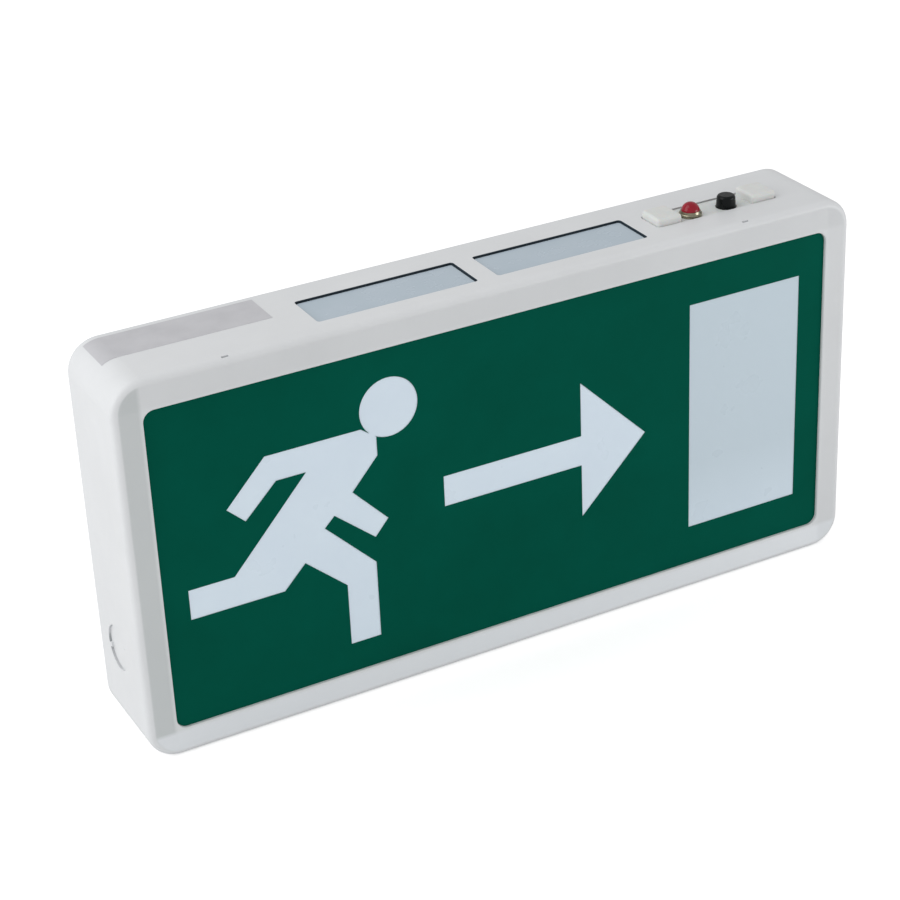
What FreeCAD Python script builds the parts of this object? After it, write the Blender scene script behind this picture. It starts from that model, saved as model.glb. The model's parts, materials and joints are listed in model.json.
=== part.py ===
import FreeCAD, Part
import math
import operator
import os
import Sketcher
from FreeCAD import Rotation, Vector

# Emergency exit light: a slim moulded casing with a lit legend panel in its front, two opal
# windows and the test controls in its top, and a wall tray behind that carries lamp, gear and battery.
# Frame: X along the length, the legend faces -Y, +Z up; the origin is under the middle of the casing.
# The tray is fixed to the wall; the cover pulls off it towards -Y, and the test button pushes down.

# ---------------------------------------------------------------- driving dimensions, millimetres
SIZES = [
    # casing
    ("BoxLength", 357.0, "overall length"),
    ("BoxHeight", 178.5, "height of the casing, without the guard blocks"),
    ("BoxDepth", 50.0, "front face to wall"),
    ("CoverWall", 2.4, "wall of the moulded cover"),
    ("CornerRadius", 14.0, "rounding of the four long corners"),
    ("FrontEdgeRadius", 3.4, "rounding all round the front face"),
    ("BackEdgeRadius", 1.2, "rounding where the cover meets the wall"),
    # legend
    ("FrameSide", 13.0, "frame beside the visible legend"),
    ("FrameBottom", 13.1, "frame under it"),
    ("FrameTop", 14.4, "frame over it"),
    ("OpeningRadius", 5.0, "corner radius of the legend opening"),
    ("LipThickness", 1.5, "front face to legend film"),
    ("LipRound", 0.7, "rounding of the opening's front edge"),
    ("FilmThickness", 0.25, "green legend film"),
    ("DiffuserThickness", 2.0, "opal panel behind the film"),
    ("DiffuserOverlap", 4.0, "how far the panel reaches behind the lip"),
    ("DiffuserClearance", 0.3, "panel edge to its rebate and hooks"),
    ("HookWidth", 12.0, "width of a moulded hook that holds the panel"),
    ("HookThickness", 1.6, "thickness of such a hook"),
    ("HookReach", 2.2, "how far a hook reaches over the panel"),
    ("HookInset", 30.5, "end of the legend opening to the first hook of a row"),
    # windows
    ("WindowsFromLeft", 95.9, "left end of the casing to the windows"),
    ("WindowsFromRight", 101.1, "right end of the casing to the windows"),
    ("WindowWidth", 23.8, "window opening, front to back"),
    ("WindowRadius", 1.5, "corner radius of a window"),
    ("WindowFromFront", 10.4, "front face to the windows"),
    ("WindowRib", 9.4, "rib between the two windows"),
    ("PaneThickness", 2.0, "opal window pane"),
    ("PaneGap", 0.8, "raised middle of a pane to the edge of its opening"),
    ("PaneSink", 0.9, "top face down to that raised middle"),
    ("PaneOverlap", 3.0, "how far a pane reaches under the wall"),
    ("RailThickness", 1.2, "rail that locates the panes"),
    ("RailDepth", 3.5, "depth of that rail"),
    # test controls
    ("ControlFromRight", 60.3, "right end of the casing to the middle of the control insert"),
    ("ControlFromFront", 24.2, "front face to the middle of the control insert"),
    ("ControlLength", 62.6, "control insert along the casing"),
    ("ControlWidth", 14.4, "control insert, front to back"),
    ("ControlClearance", 0.5, "gap round the insert in its hole"),
    ("ControlSink", 0.6, "sunken floor below the top face"),
    ("GuardLength", 12.6, "length of a guard block"),
    ("GuardHeight", 3.4, "height of a guard block above the top face"),
    ("GuardRound", 1.3, "rounding of a guard block's top"),
    ("GuardCorner", 1.5, "rounding of a guard block's upright corners"),
    ("FlangeThickness", 2.0, "flange of the insert under the wall"),
    ("FlangeOverlap", 3.0, "how far that flange reaches under the wall"),
    ("LegThickness", 2.0, "leg of the insert that stands on the control board"),
    ("PushFromFront", 22.3, "front face to the indicator and the button"),
    ("LedShift", -11.1, "indicator from the middle of the insert"),
    ("LedDiameter", 8.4, "indicator lens"),
    ("LedHeight", 5.7, "top of the lens above the top face"),
    ("LedSpacerHeight", 5.0, "spacer between the board and the indicator"),
    ("BezelDiameter", 10.3, "flange of the indicator's metal ring"),
    ("BezelCollar", 9.6, "collar of that ring"),
    ("BezelHeight", 2.0, "top of the ring above the top face"),
    ("ButtonShift", 7.9, "button from the middle of the insert"),
    ("ButtonDiameter", 9.0, "button at its foot"),
    ("ButtonTopDiameter", 8.2, "button at its top"),
    ("ButtonHeight", 5.0, "top of the button above the top face"),
    ("ButtonRound", 1.3, "rounding of the button's top edge"),
    ("ButtonTravel", 1.5, "push of the button"),
    ("ButtonGap", 0.3, "gap round the button in its hole"),
    ("ButtonStop", 1.0, "reach and thickness of the button's stop flange"),
    ("StemGap", 0.3, "stem above the switch when the button is half pushed"),
    ("StemDiameter", 4.0, "stem under the button"),
    ("SpringWire", 0.6, "wire of the button's spring"),
    ("SpringDiameter", 8.0, "outside of that spring"),
    ("SwitchSize", 12.0, "side of the test switch"),
    ("SwitchHeight", 4.0, "height of the test switch"),
    ("BoardDrop", 12.0, "top wall to the control board"),
    ("BoardThickness", 1.6, "circuit boards"),
    ("ControlBoardLength", 66.0, "control board along the casing"),
    ("ControlBoardWidth", 36.0, "control board, front to back"),
    ("BossDiameter", 6.0, "screw bosses"),
    ("BossSpacing", 54.0, "bosses of the control board along the casing"),
    ("BossRows", 29.0, "bosses of the control board, front to back"),
    # screws
    ("ScrewDiameter", 3.0, "thread"),
    ("ScrewLength", 6.0, "shank under the head"),
    ("ShortScrewLength", 5.0, "shank of the screws in the tray's low bosses"),
    ("ScrewRoom", 0.4, "hole past the tip of a screw"),
    ("ScrewHead", 5.6, "head"),
    ("ScrewHeadHeight", 2.0, "height of the head"),
    ("ScrewSlot", 0.8, "slot in the head"),
    ("ScrewClearance", 0.1, "play of a shank in its hole"),
    # label and knockout
    ("LabelInset", 6.8, "left end of the casing to the label's end on the rounded corner"),
    ("LabelWidth", 21.4, "silver label, front to back"),
    ("LabelFromFront", 24.8, "front face to the label"),
    ("LabelLength", 82.1, "left end of the casing to the label's right end"),
    ("LabelThickness", 0.12, "label"),
    ("KnockoutDiameter", 20.6, "recessed conduit knockout in the left end"),
    ("KnockoutDepth", 1.0, "depth of its recess"),
    ("KnockoutWeb", 0.5, "thin ring that breaks when it is knocked out"),
    ("KnockoutGroove", 1.2, "width of the groove behind that ring"),
    ("KnockoutBridge", 2.0, "width and length of the two bridges across the recess's step"),
    ("KnockoutFromFront", 28.1, "front face to the knockout"),
    ("KnockoutHeight", 43.8, "underside to the knockout"),
    ("NotchLength", 3.2, "small slot over the legend panel, in the top face"),
    ("NotchWidth", 0.9, "width of that slot"),
    ("NotchDepth", 1.1, "depth of that slot"),
    ("NotchFromFront", 2.1, "front face to that slot"),
    ("NotchInset", 40.3, "end of the legend opening to that slot"),
    # wall tray
    ("TrayGap", 0.4, "gap between the tray and the cover"),
    ("TrayThickness", 2.2, "back of the tray"),
    ("TrayUpstand", 7.0, "height of the tray's edge, from the wall"),
    ("TrayWall", 2.0, "thickness of that edge"),
    ("NibWidth", 12.0, "snap nib on the tray's edge"),
    ("NibBite", 0.5, "how far a nib enters the cover wall"),
    ("NibSpacing", 200.0, "from one nib to the other"),
    ("NibClearance", 0.4, "gap round a nib"),
    ("LowBoss", 2.0, "low bosses under the clips and the lampholders"),
    ("StopSpacing", 140.0, "ribs of the cover that stop on the tray's edge"),
    ("StopLength", 5.0, "such a rib, front to back"),
    ("StopThickness", 3.0, "thickness of such a rib"),
    ("FixingInset", 58.5, "end of the casing to the wall screw holes"),
    ("FixingDrop", 15.5, "top of the casing to the upper wall screw holes"),
    ("FixingHeight", 72.0, "underside to the lower wall screw holes"),
    ("FixingDiameter", 5.0, "wall screw holes"),
    ("EntryDiameter", 20.0, "cable entry in the tray"),
    ("EntryHeight", 72.0, "underside to the cable entry"),
    ("GrommetBore", 9.0, "hole in the grommet"),
    ("GrommetFlange", 26.0, "outside of the grommet"),
    ("GrommetLip", 1.5, "thickness of each grommet flange"),
    # lamp
    ("LampInset", 34.35, "end of the casing to the end face of the lamp"),
    ("LampDiameter", 16.0, "lamp"),
    ("LampCapLength", 11.0, "metal cap at each end of the lamp"),
    ("LampCapWall", 0.4, "wall of that cap"),
    ("LampDrop", 57.5, "top of the casing to the lamp"),
    ("LampFromWall", 22.5, "wall to the lamp's axis"),
    ("PinDiameter", 2.3, "contact pins"),
    ("PinLength", 6.8, "contact pins"),
    ("PinPitch", 4.75, "from one pin to the other"),
    ("HolderThickness", 12.0, "lampholder along the lamp"),
    ("HolderWidth", 20.0, "lampholder across the lamp"),
    ("HolderReach", 7.0, "lampholder in front of the lamp's axis"),
    ("HolderGap", 0.2, "lamp end to lampholder"),
    ("HolderFoot", 10.0, "foot of a lampholder, for its screw"),
    ("ReflectorInset", 6.15, "end face of the lamp to the end of the folded sheet behind it"),
    ("ReflectorFloor", 44.0, "flat part of the sheet"),
    ("ReflectorWing", 12.0, "rise of each sloping side"),
    ("ReflectorThickness", 0.8, "sheet"),
    ("ReflectorStandoff", 4.0, "tray to sheet"),
    ("ReflectorScrewInset", 13.0, "end of the sheet to its screws"),
    # battery
    ("CellDiameter", 33.0, "battery cell in its sleeve"),
    ("CellGroove", 0.8, "depth of the groove between two cells"),
    ("BatteryInset", 8.5, "right end of the casing to the battery"),
    ("BatteryGap", 20.0, "gear board to battery"),
    ("BatteryHeight", 29.0, "underside to the battery's axis"),
    ("ClipThickness", 1.2, "spring clip round the battery"),
    ("ClipWidth", 12.0, "spring clip along the battery"),
    ("ClipInset", 35.0, "end of the battery to a clip"),
    ("ClipFoot", 44.0, "foot of a clip"),
    ("ClipBase", 2.0, "thickness of that foot"),
    ("ClipScrews", 38.4, "from one screw of a clip to the other"),
    # control gear
    ("GearLength", 140.0, "gear board along the casing"),
    ("GearWidth", 46.0, "gear board, bottom to top"),
    ("GearInset", 8.5, "left end of the casing to the gear board"),
    ("GearHeight", 31.0, "underside to the middle of the gear board"),
    ("GearStandoff", 6.0, "tray to gear board"),
    ("GearScrewInset", 4.5, "edge of the gear board to its screws"),
    ("CoreLength", 28.0, "transformer core along the casing"),
    ("CoreDepth", 22.0, "transformer core, off the board"),
    ("CoreStack", 12.0, "thickness of the core"),
    ("CoreLeg", 5.0, "outer leg of the core"),
    ("CoilGap", 0.2, "coil to core"),
    ("CoilRound", 2.5, "rounding of the coil"),
    ("SinkLength", 30.0, "heat sink along the casing"),
    ("SinkDepth", 18.0, "heat sink, off the board"),
    ("SinkWidth", 16.0, "heat sink, bottom to top"),
    ("SinkFin", 1.6, "fin of the heat sink"),
    ("SinkBase", 3.0, "base of the heat sink"),
    ("CapacitorDiameter", 10.0, "electrolytic capacitor"),
    ("CapacitorHeight", 17.0, "electrolytic capacitor"),
    ("TerminalPitch", 8.0, "from one terminal to the next"),
    ("TerminalDepth", 14.0, "terminal block, off the board"),
    ("TerminalWidth", 13.0, "terminal block, bottom to top"),
    ("TerminalBore", 4.2, "wire hole of a terminal"),
    ("TerminalScrew", 4.0, "screw of a terminal"),
]

# The figure, as shares of its own height, from the tip of its rear foot (right, up from the middle).
RUNNER_HEIGHT = 0.815      # of the legend's height
RUNNER_BODY = [
    (0.676, 0.332), (0.316, 0.332), (0.164, 0.172), (0.230, 0.109), (0.352, 0.229), (0.462, 0.229),
    (0.171, -0.089), (0.000, -0.089), (0.000, -0.205), (0.351, -0.205), (0.435, -0.119),
    (0.587, -0.256), (0.587, -0.499), (0.705, -0.499), (0.705, -0.198), (0.518, -0.007), (0.557, 0.031),
    (0.708, -0.099), (0.761, -0.038), (0.631, 0.101), (0.734, 0.216), (0.734, 0.288),
]
RUNNER_HEAD = (0.786, 0.388, 0.224)      # right, up, diameter
RUNNER_MARGIN = 0.0768     # of the legend's height, from the left edge
DOOR = (0.391, 0.748)      # width and height, of the legend's height
DOOR_MARGIN = 0.087
ARROW_SHAFT = (-0.340, 0.118, 0.098)       # left, right and height, of the legend's height
ARROW_HEAD = (0.340, 0.444)               # right and height, of the legend's height
ARROW_SHIFT = 0.0557       # of the legend's length, right of the middle
BRIDGE_ANGLE = math.radians(-18)         # of the knockout's bridges, rear end down

doc = FreeCAD.newDocument("EmergencyExitLight")
sheet = doc.addObject("Spreadsheet::Sheet", "Sizes")


# ---------------------------------------------------------------- sizes that keep their formula
OPERATIONS = {"+": operator.add, "-": operator.sub, "*": operator.mul, "/": operator.truediv}


class Size:
    """A length that knows both its spreadsheet formula and its present value."""

    def __init__(self, formula, value):
        self.formula = formula
        self.value = value

    def __float__(self):
        return float(self.value)

    def __add__(self, other):
        return joined(self, "+", other)

    def __radd__(self, other):
        return joined(other, "+", self)

    def __sub__(self, other):
        return joined(self, "-", other)

    def __rsub__(self, other):
        return joined(other, "-", self)

    def __mul__(self, other):
        return joined(self, "*", other)

    def __rmul__(self, other):
        return joined(other, "*", self)

    def __truediv__(self, other):
        return joined(self, "/", other)

    def __neg__(self):
        return joined(-1, "*", self)


def formula(size):
    """The text that a property is bound to."""
    return size.formula if isinstance(size, Size) else "(%.9g)" % size


def joined(first, sign, second):
    """Two sizes or numbers joined by + - * or /, as one size."""
    value = OPERATIONS[sign](float(first), float(second))
    return Size("(%s %s %s)" % (formula(first), sign, formula(second)), value)


class Sheet:
    """The driving dimensions by name, each one a Size bound to its cell."""


s = Sheet()
for row, (name, value, meaning) in enumerate(SIZES, start=1):
    sheet.set("A%d" % row, meaning)
    sheet.set("B%d" % row, "%g" % value)
    sheet.setAlias("B%d" % row, name)
    setattr(s, name, Size("Sizes." + name, value))
doc.recompute()

# planes and heights that several pieces share
front = s.BoxDepth * -0.5
back = s.BoxDepth * 0.5
right = s.BoxLength * 0.5
top = s.BoxHeight
ceiling = top - s.CoverWall                       # underside of the cover's top wall
cavity_right = right - s.CoverWall
film_front = front + s.LipThickness
panel_front = film_front + s.FilmThickness
panel_back = panel_front + s.DiffuserThickness
opening_right = right - s.FrameSide
opening_height = top - s.FrameBottom - s.FrameTop
legend_middle = s.FrameBottom + opening_height / 2
panel_right = opening_right + s.DiffuserOverlap
panel_bottom = s.FrameBottom - s.DiffuserOverlap
panel_top = top - s.FrameTop + s.DiffuserOverlap
window_front = front + s.WindowFromFront
window_back = window_front + s.WindowWidth
windows_left = s.WindowsFromLeft - right
window_length = (s.BoxLength - s.WindowsFromLeft - s.WindowsFromRight - s.WindowRib) / 2
windows_middle = windows_left + window_length + s.WindowRib / 2
control_x = right - s.ControlFromRight
control_y = front + s.ControlFromFront
push_y = front + s.PushFromFront
led_x = control_x + s.LedShift
button_x = control_x + s.ButtonShift
control_floor = top - s.ControlSink
flange_bottom = ceiling - s.FlangeThickness
board_top = ceiling - s.BoardDrop
tray_front = back - s.TrayThickness               # floor of the tray, where its pieces stand
tray_edge = s.CoverWall + s.TrayGap + s.TrayWall  # outside of the casing to inside of the tray's edge
lamp_y = back - s.LampFromWall
lamp_z = top - s.LampDrop
lamp_end = right - s.LampInset
holder_inner = lamp_end + s.HolderGap
reflector_end = lamp_end - s.ReflectorInset
sheet_back = tray_front - s.ReflectorStandoff
boss_face = tray_front - s.LowBoss                # where the clips and the lampholders stand
battery_y = boss_face - s.ClipBase - s.ClipThickness - s.CellDiameter / 2
gear_x = s.GearInset + s.GearLength / 2 - right
battery_left = gear_x + s.GearLength / 2 + s.BatteryGap
battery_right = right - s.BatteryInset
battery_x = (battery_left + battery_right) / 2
cell_length = (battery_right - battery_left) / 3
gear_back = tray_front - s.GearStandoff
gear_front = gear_back - s.BoardThickness
pilot = s.ScrewDiameter + s.ScrewClearance
pieces = []


# ---------------------------------------------------------------- helpers
def bind(item, name, size):
    """Bind a property to a size's formula."""
    item.setExpression(name, formula(size))


def bind_base(item, base):
    """Bind where an object stands."""
    for letter, size in zip("xyz", base):
        bind(item, "Placement.Base." + letter, size)


def new_body(label, base=None, turn=None):
    """A body for one sub-part; base and turn place it when it is drawn about its own axis."""
    body = doc.addObject("PartDesign::Body", label)
    body.Label = label
    if turn is not None:
        body.Placement.Rotation = turn
    if base is not None:
        bind_base(body, base)
    pieces.append(body)
    return body


def origin(body, role):
    """One of a body's own planes or axes."""
    return next(item for item in body.Origin.OriginFeatures if item.Role == role)


def new_sketch(body, name, plane, along=0):
    """A sketch on one of the body's planes, moved along that plane's normal."""
    sketch = body.newObject("Sketcher::SketchObject", body.Name + "_" + name)
    sketch.AttachmentSupport = [(origin(body, plane), "")]
    sketch.MapMode = "FlatFace"
    bind(sketch, "AttachmentOffset.Base.z", along)
    return sketch


def measured(sketch, kind, size, *where):
    """A constraint whose value follows a size."""
    index = sketch.addConstraint(Sketcher.Constraint(kind, *where, float(size)))
    bind(sketch, "Constraints[%d]" % index, size)


def pin_point(sketch, line, end, across, up):
    """Hold one point at its distances from the sketch's origin."""
    for kind, size, axis in (("DistanceX", across, -2), ("DistanceY", up, -1)):
        if abs(float(size)) < 1e-9 and not isinstance(size, Size):
            sketch.addConstraint(Sketcher.Constraint("PointOnObject", line, end, axis))
        else:
            measured(sketch, kind, size, -1, 1, line, end)


def polygon(sketch, corners):
    """A closed outline of straight lines."""
    first = sketch.GeometryCount
    count = len(corners)
    flat = [Vector(float(across), float(up), 0) for across, up in corners]
    for index in range(count):
        sketch.addGeometry(Part.LineSegment(flat[index], flat[(index + 1) % count]))
    for index, (across, up) in enumerate(corners):
        after = first + (index + 1) % count
        sketch.addConstraint(Sketcher.Constraint("Coincident", first + index, 2, after, 1))
        pin_point(sketch, first + index, 1, across, up)


def rectangle(sketch, left, bottom, width, height):
    """A rectangle from its lower left corner."""
    polygon(sketch, [(left, bottom), (left + width, bottom),
                     (left + width, bottom + height), (left, bottom + height)])


def rounded_rectangle(sketch, left, bottom, width, height, radius):
    """A rectangle with its four corners rounded: four lines and four tangent arcs."""
    first = sketch.GeometryCount
    x0, y0, r = float(left), float(bottom), float(radius)
    x1, y1 = x0 + float(width), y0 + float(height)
    lines = [((x0 + r, y0), (x1 - r, y0)), ((x1, y0 + r), (x1, y1 - r)),
             ((x1 - r, y1), (x0 + r, y1)), ((x0, y1 - r), (x0, y0 + r))]
    for start, end in lines:
        sketch.addGeometry(Part.LineSegment(Vector(*start, 0), Vector(*end, 0)))
    centres = [(x1 - r, y0 + r, 270), (x1 - r, y1 - r, 0), (x0 + r, y1 - r, 90), (x0 + r, y0 + r, 180)]
    for across, up, angle in centres:
        circle = Part.Circle(Vector(across, up, 0), Vector(0, 0, 1), r)
        sketch.addGeometry(Part.ArcOfCircle(circle, math.radians(angle), math.radians(angle + 90)))
    for index in range(4):
        line, arc, after = first + index, first + 4 + index, first + (index + 1) % 4
        sketch.addConstraint(Sketcher.Constraint("Tangent", line, 2, arc, 1))
        sketch.addConstraint(Sketcher.Constraint("Tangent", arc, 2, after, 1))
        sketch.addConstraint(Sketcher.Constraint("Vertical" if index % 2 else "Horizontal", line))
        if index:
            sketch.addConstraint(Sketcher.Constraint("Equal", first + 4, arc))
    measured(sketch, "Radius", radius, first + 4)
    measured(sketch, "DistanceY", bottom, -1, 1, first, 1)
    measured(sketch, "DistanceX", left + width, -1, 1, first + 1, 1)
    measured(sketch, "DistanceY", bottom + height, -1, 1, first + 2, 1)
    measured(sketch, "DistanceX", left, -1, 1, first + 3, 1)


def circle(sketch, across, up, diameter):
    """A circle about a point."""
    centre = Vector(float(across), float(up), 0)
    index = sketch.addGeometry(Part.Circle(centre, Vector(0, 0, 1), float(diameter) / 2))
    pin_point(sketch, index, 3, across, up)
    measured(sketch, "Diameter", diameter, index)


def feature(body, kind, name, sizes, **settings):
    """Add a PartDesign feature and make sure that it adds or removes what it should."""
    before = 0 if body.Shape.isNull() else body.Shape.Volume
    item = body.newObject("PartDesign::" + kind, body.Name + "_" + name)
    for setting, value in settings.items():
        setattr(item, setting, value)
    for prop, size in sizes.items():
        bind(item, prop, size)
    doc.recompute()
    if "Invalid" in item.State:
        raise RuntimeError("%s of %s failed: %s" % (name, body.Label, item.getStatusString()))
    change = body.Shape.Volume - before
    removes = kind in ("Pocket", "Groove") or kind.startswith("Subtractive")
    if kind not in ("Fillet", "Chamfer") and (change < -1e-6) != removes:
        raise RuntimeError("%s of %s changes the volume by %.3f" % (name, body.Label, change))
    return item


def pad(body, sketch, length, reverse=False, both_ways=False):
    """Pad a sketch along its normal."""
    return feature(body, "Pad", "pad_" + sketch.Name, {"Length": length}, Profile=sketch,
                   Reversed=reverse, Midplane=both_ways)


def pocket(body, sketch, length, reverse=False):
    """Cut a sketch against its normal."""
    return feature(body, "Pocket", "cut_" + sketch.Name, {"Length": length}, Profile=sketch,
                   Reversed=reverse)


def turned(body, sketch, axis="V_Axis"):
    """Revolve a profile about the sketch's own axis."""
    return feature(body, "Revolution", "turned", {}, Profile=sketch, Angle=360,
                   ReferenceAxis=(sketch, [axis]))


def box(body, name, low, extent, cut=False):
    """A rectangular block added to or taken from a body."""
    kind = "SubtractiveBox" if cut else "AdditiveBox"
    places = {"Placement.Base." + letter: size for letter, size in zip("xyz", low)}
    return feature(body, kind, name, dict(zip(("Length", "Width", "Height"), extent), **places))


def rod(body, name, base, direction, diameter, length, cut=False):
    """A round rod added to or bored out of a body."""
    kind = "SubtractiveCylinder" if cut else "AdditiveCylinder"
    places = {"Placement.Base." + letter: size for letter, size in zip("xyz", base)}
    turn = FreeCAD.Placement(Vector(), Rotation(Vector(0, 0, 1), direction))
    return feature(body, kind, name, dict(places, Radius=diameter / 2, Height=length), Placement=turn)


def fillet(body, name, radius, test):
    """Round every edge of the body's tip that passes the test."""
    base = body.Tip
    edges = ["Edge%d" % (number + 1) for number, edge in enumerate(base.Shape.Edges) if test(edge)]
    return feature(body, "Fillet", name, {"Radius": radius}, Base=(base, edges))


def level(edge, axis, size):
    """True for an edge that lies at one value of x, y or z."""
    bounds = edge.BoundBox
    low, high = getattr(bounds, axis + "Min"), getattr(bounds, axis + "Max")
    return abs(low - float(size)) < 1e-4 and abs(high - float(size)) < 1e-4


def moved(base, turn, local):
    """A point given in a turned frame, as three sizes."""
    place = list(base)
    for axis, size in zip((Vector(1, 0, 0), Vector(0, 1, 0), Vector(0, 0, 1)), local):
        way = turn.multVec(axis)
        for index, share in enumerate(way):
            if abs(share) > 1e-9:
                place[index] = place[index] + size * round(share, 9)
    return place


def primitive(kind, name, base, turn=Rotation(), **sizes):
    """A Part primitive at a bound place."""
    item = doc.addObject("Part::" + kind, name)
    item.Placement.Rotation = turn
    bind_base(item, base)
    for prop, size in sizes.items():
        bind(item, prop, size)
    return item


def screws(label, seats, direction, length=s.ScrewLength):
    """Pan-head screws that go the same way, as one group of separate solids."""
    turn = Rotation(Vector(0, 0, 1), direction)
    group = []
    for number, seat in enumerate(seats, start=1):
        name = "%s_%d_" % (label, number)
        shank = primitive("Cylinder", name + "shank", seat, turn, Radius=s.ScrewDiameter / 2,
                          Height=length)
        head = primitive("Cylinder", name + "head", moved(seat, turn, (0, 0, -s.ScrewHeadHeight)), turn,
                         Radius=s.ScrewHead / 2, Height=s.ScrewHeadHeight)
        corner = moved(seat, turn, (-s.ScrewSlot / 2, -s.ScrewHead / 2, -s.ScrewHeadHeight))
        slot = primitive("Box", name + "slot", corner, turn, Length=s.ScrewSlot, Width=s.ScrewHead,
                         Height=s.ScrewHeadHeight / 2)
        blank = doc.addObject("Part::Fuse", name + "blank")
        blank.Base, blank.Tool = shank, head
        screw = doc.addObject("Part::Cut", name + "screw")
        screw.Base, screw.Tool = blank, slot
        group.append(screw)
    compound(label, group)


def compound(label, items):
    """Separate solids that share one node."""
    item = doc.addObject("Part::Compound", label)
    item.Label = label
    item.Links = items
    pieces.append(item)


# ---------------------------------------------------------------- the cover and what it carries
def make_cover_shell():
    """The one-piece moulded cover: outer form first, then its hollow, openings, hooks and bosses."""
    body = new_body("cover_shell")
    outer = new_sketch(body, "outer", "XZ_Plane")
    rounded_rectangle(outer, -right, 0, s.BoxLength, top, s.CornerRadius)
    pad(body, outer, s.BoxDepth, both_ways=True)
    fillet(body, "front_edge", s.FrontEdgeRadius, lambda edge: level(edge, "Y", front))
    fillet(body, "back_edge", s.BackEdgeRadius, lambda edge: level(edge, "Y", back))

    hollow = new_sketch(body, "hollow", "XZ_Plane", -back)
    rounded_rectangle(hollow, -cavity_right, s.CoverWall, cavity_right * 2, ceiling - s.CoverWall,
                      s.CornerRadius - s.CoverWall)
    pocket(body, hollow, s.BoxDepth - s.CoverWall, reverse=True)

    opening = new_sketch(body, "opening", "XZ_Plane", -front)
    rounded_rectangle(opening, -opening_right, s.FrameBottom, opening_right * 2, opening_height,
                      s.OpeningRadius)
    pocket(body, opening, s.CoverWall * 2)
    reach = float(opening_right) + 0.01
    fillet(body, "lip", s.LipRound,
           lambda edge: level(edge, "Y", front) and max(abs(edge.BoundBox.XMin),
                                                        abs(edge.BoundBox.XMax)) < reach)

    rebate = new_sketch(body, "rebate", "XZ_Plane", -film_front)
    edge_gap = s.DiffuserClearance
    rectangle(rebate, -panel_right - edge_gap, panel_bottom - edge_gap, (panel_right + edge_gap) * 2,
              panel_top - panel_bottom + edge_gap * 2)
    pocket(body, rebate, s.CoverWall * 2)

    cut_windows(body)
    hole = new_sketch(body, "control_hole", "XY_Plane", top)
    gap = s.ControlClearance
    rounded_rectangle(hole, control_x - s.ControlLength / 2 - gap,
                      control_y - s.ControlWidth / 2 - gap, s.ControlLength + gap * 2,
                      s.ControlWidth + gap * 2, s.GuardCorner + gap)
    pocket(body, hole, s.CoverWall * 2)
    add_hooks(body)
    add_rails(body)
    add_stops(body)
    add_bosses(body)
    cut_nib_ways(body)
    cut_notches(body)
    cut_knockout(body)


def window_lefts():
    """Left ends of the two windows."""
    return (windows_left, windows_left + window_length + s.WindowRib)


def cut_windows(body):
    """The two window openings in the top wall."""
    windows = new_sketch(body, "windows", "XY_Plane", top)
    for left in window_lefts():
        rounded_rectangle(windows, left, window_front, window_length, s.WindowWidth, s.WindowRadius)
    pocket(body, windows, s.CoverWall * 2)


def add_hooks(body):
    """Hooks that hold the diffuser panel: two rows of four, and one at each end."""
    wall = front + s.CoverWall
    span = (opening_right - s.HookInset) * 2
    rows = new_sketch(body, "hook_rows", "YZ_Plane", span * -0.5)
    for edge, way in ((panel_top + s.DiffuserClearance, 1), (panel_bottom - s.DiffuserClearance, -1)):
        inner = edge - s.DiffuserClearance * way - s.HookReach * way
        outer = edge + s.HookThickness * way
        polygon(rows, hook_profile(wall, edge, inner, outer))
    pad(body, rows, s.HookWidth, both_ways=True)
    row = body.newObject("PartDesign::LinearPattern", "hook_pattern")
    row.Originals = [body.Tip]
    row.Direction = (origin(body, "X_Axis"), [""])
    bind(row, "Length", span)
    row.Occurrences = 4
    body.Tip = row
    doc.recompute()

    ends = new_sketch(body, "hook_ends", "XY_Plane", legend_middle)
    for way in (1, -1):
        edge = (panel_right + s.DiffuserClearance) * way
        inner = (panel_right - s.HookReach) * way
        outer = (panel_right + s.DiffuserClearance + s.HookThickness) * way
        polygon(ends, [(up, across) for across, up in hook_profile(wall, edge, inner, outer)])
    pad(body, ends, s.HookWidth, both_ways=True)


def hook_profile(wall, edge, inner, outer):
    """An L from the front wall, past the panel's edge and over its back."""
    tip = panel_back + s.HookThickness
    return [(wall, edge), (panel_back, edge), (panel_back, inner), (tip, inner), (tip, outer),
            (wall, outer)]


def add_rails(body):
    """Two rails under the top wall, one on each side of the window panes."""
    length = window_length * 2 + s.WindowRib + s.PaneOverlap * 2
    left = windows_left - s.PaneOverlap
    offset = s.PaneOverlap + s.DiffuserClearance
    for name, y in (("front_rail", window_front - offset - s.RailThickness),
                    ("back_rail", window_back + offset)):
        box(body, name, (left, y, ceiling - s.RailDepth), (length, s.RailThickness, s.RailDepth))


def add_stops(body):
    """Ribs in the top and bottom walls that stop against the edge of the tray."""
    reach = s.TrayGap + s.TrayWall
    y = back - s.TrayUpstand - s.StopLength
    for side in (-1, 1):
        left = s.StopSpacing * (side / 2) - s.StopThickness / 2
        tag = "left" if side < 0 else "right"
        box(body, "top_stop_" + tag, (left, y, ceiling - reach), (s.StopThickness, s.StopLength, reach))
        box(body, "bottom_stop_" + tag, (left, y, s.CoverWall), (s.StopThickness, s.StopLength, reach))


def board_boss_places():
    """The four bosses that carry the control board."""
    return [(control_x + s.BossSpacing * (across / 2), control_y + s.BossRows * (deep / 2))
            for across in (-1, 1) for deep in (-1, 1)]


def add_bosses(body):
    """Bosses under the top wall for the control board's screws."""
    bosses = new_sketch(body, "bosses", "XY_Plane", ceiling)
    for x, y in board_boss_places():
        circle(bosses, x, y, s.BossDiameter)
    pad(body, bosses, s.BoardDrop, reverse=True)
    holes = new_sketch(body, "pilot_holes", "XY_Plane", board_top)
    for x, y in board_boss_places():
        circle(holes, x, y, pilot)
    pocket(body, holes, s.ScrewLength, reverse=True)


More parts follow.
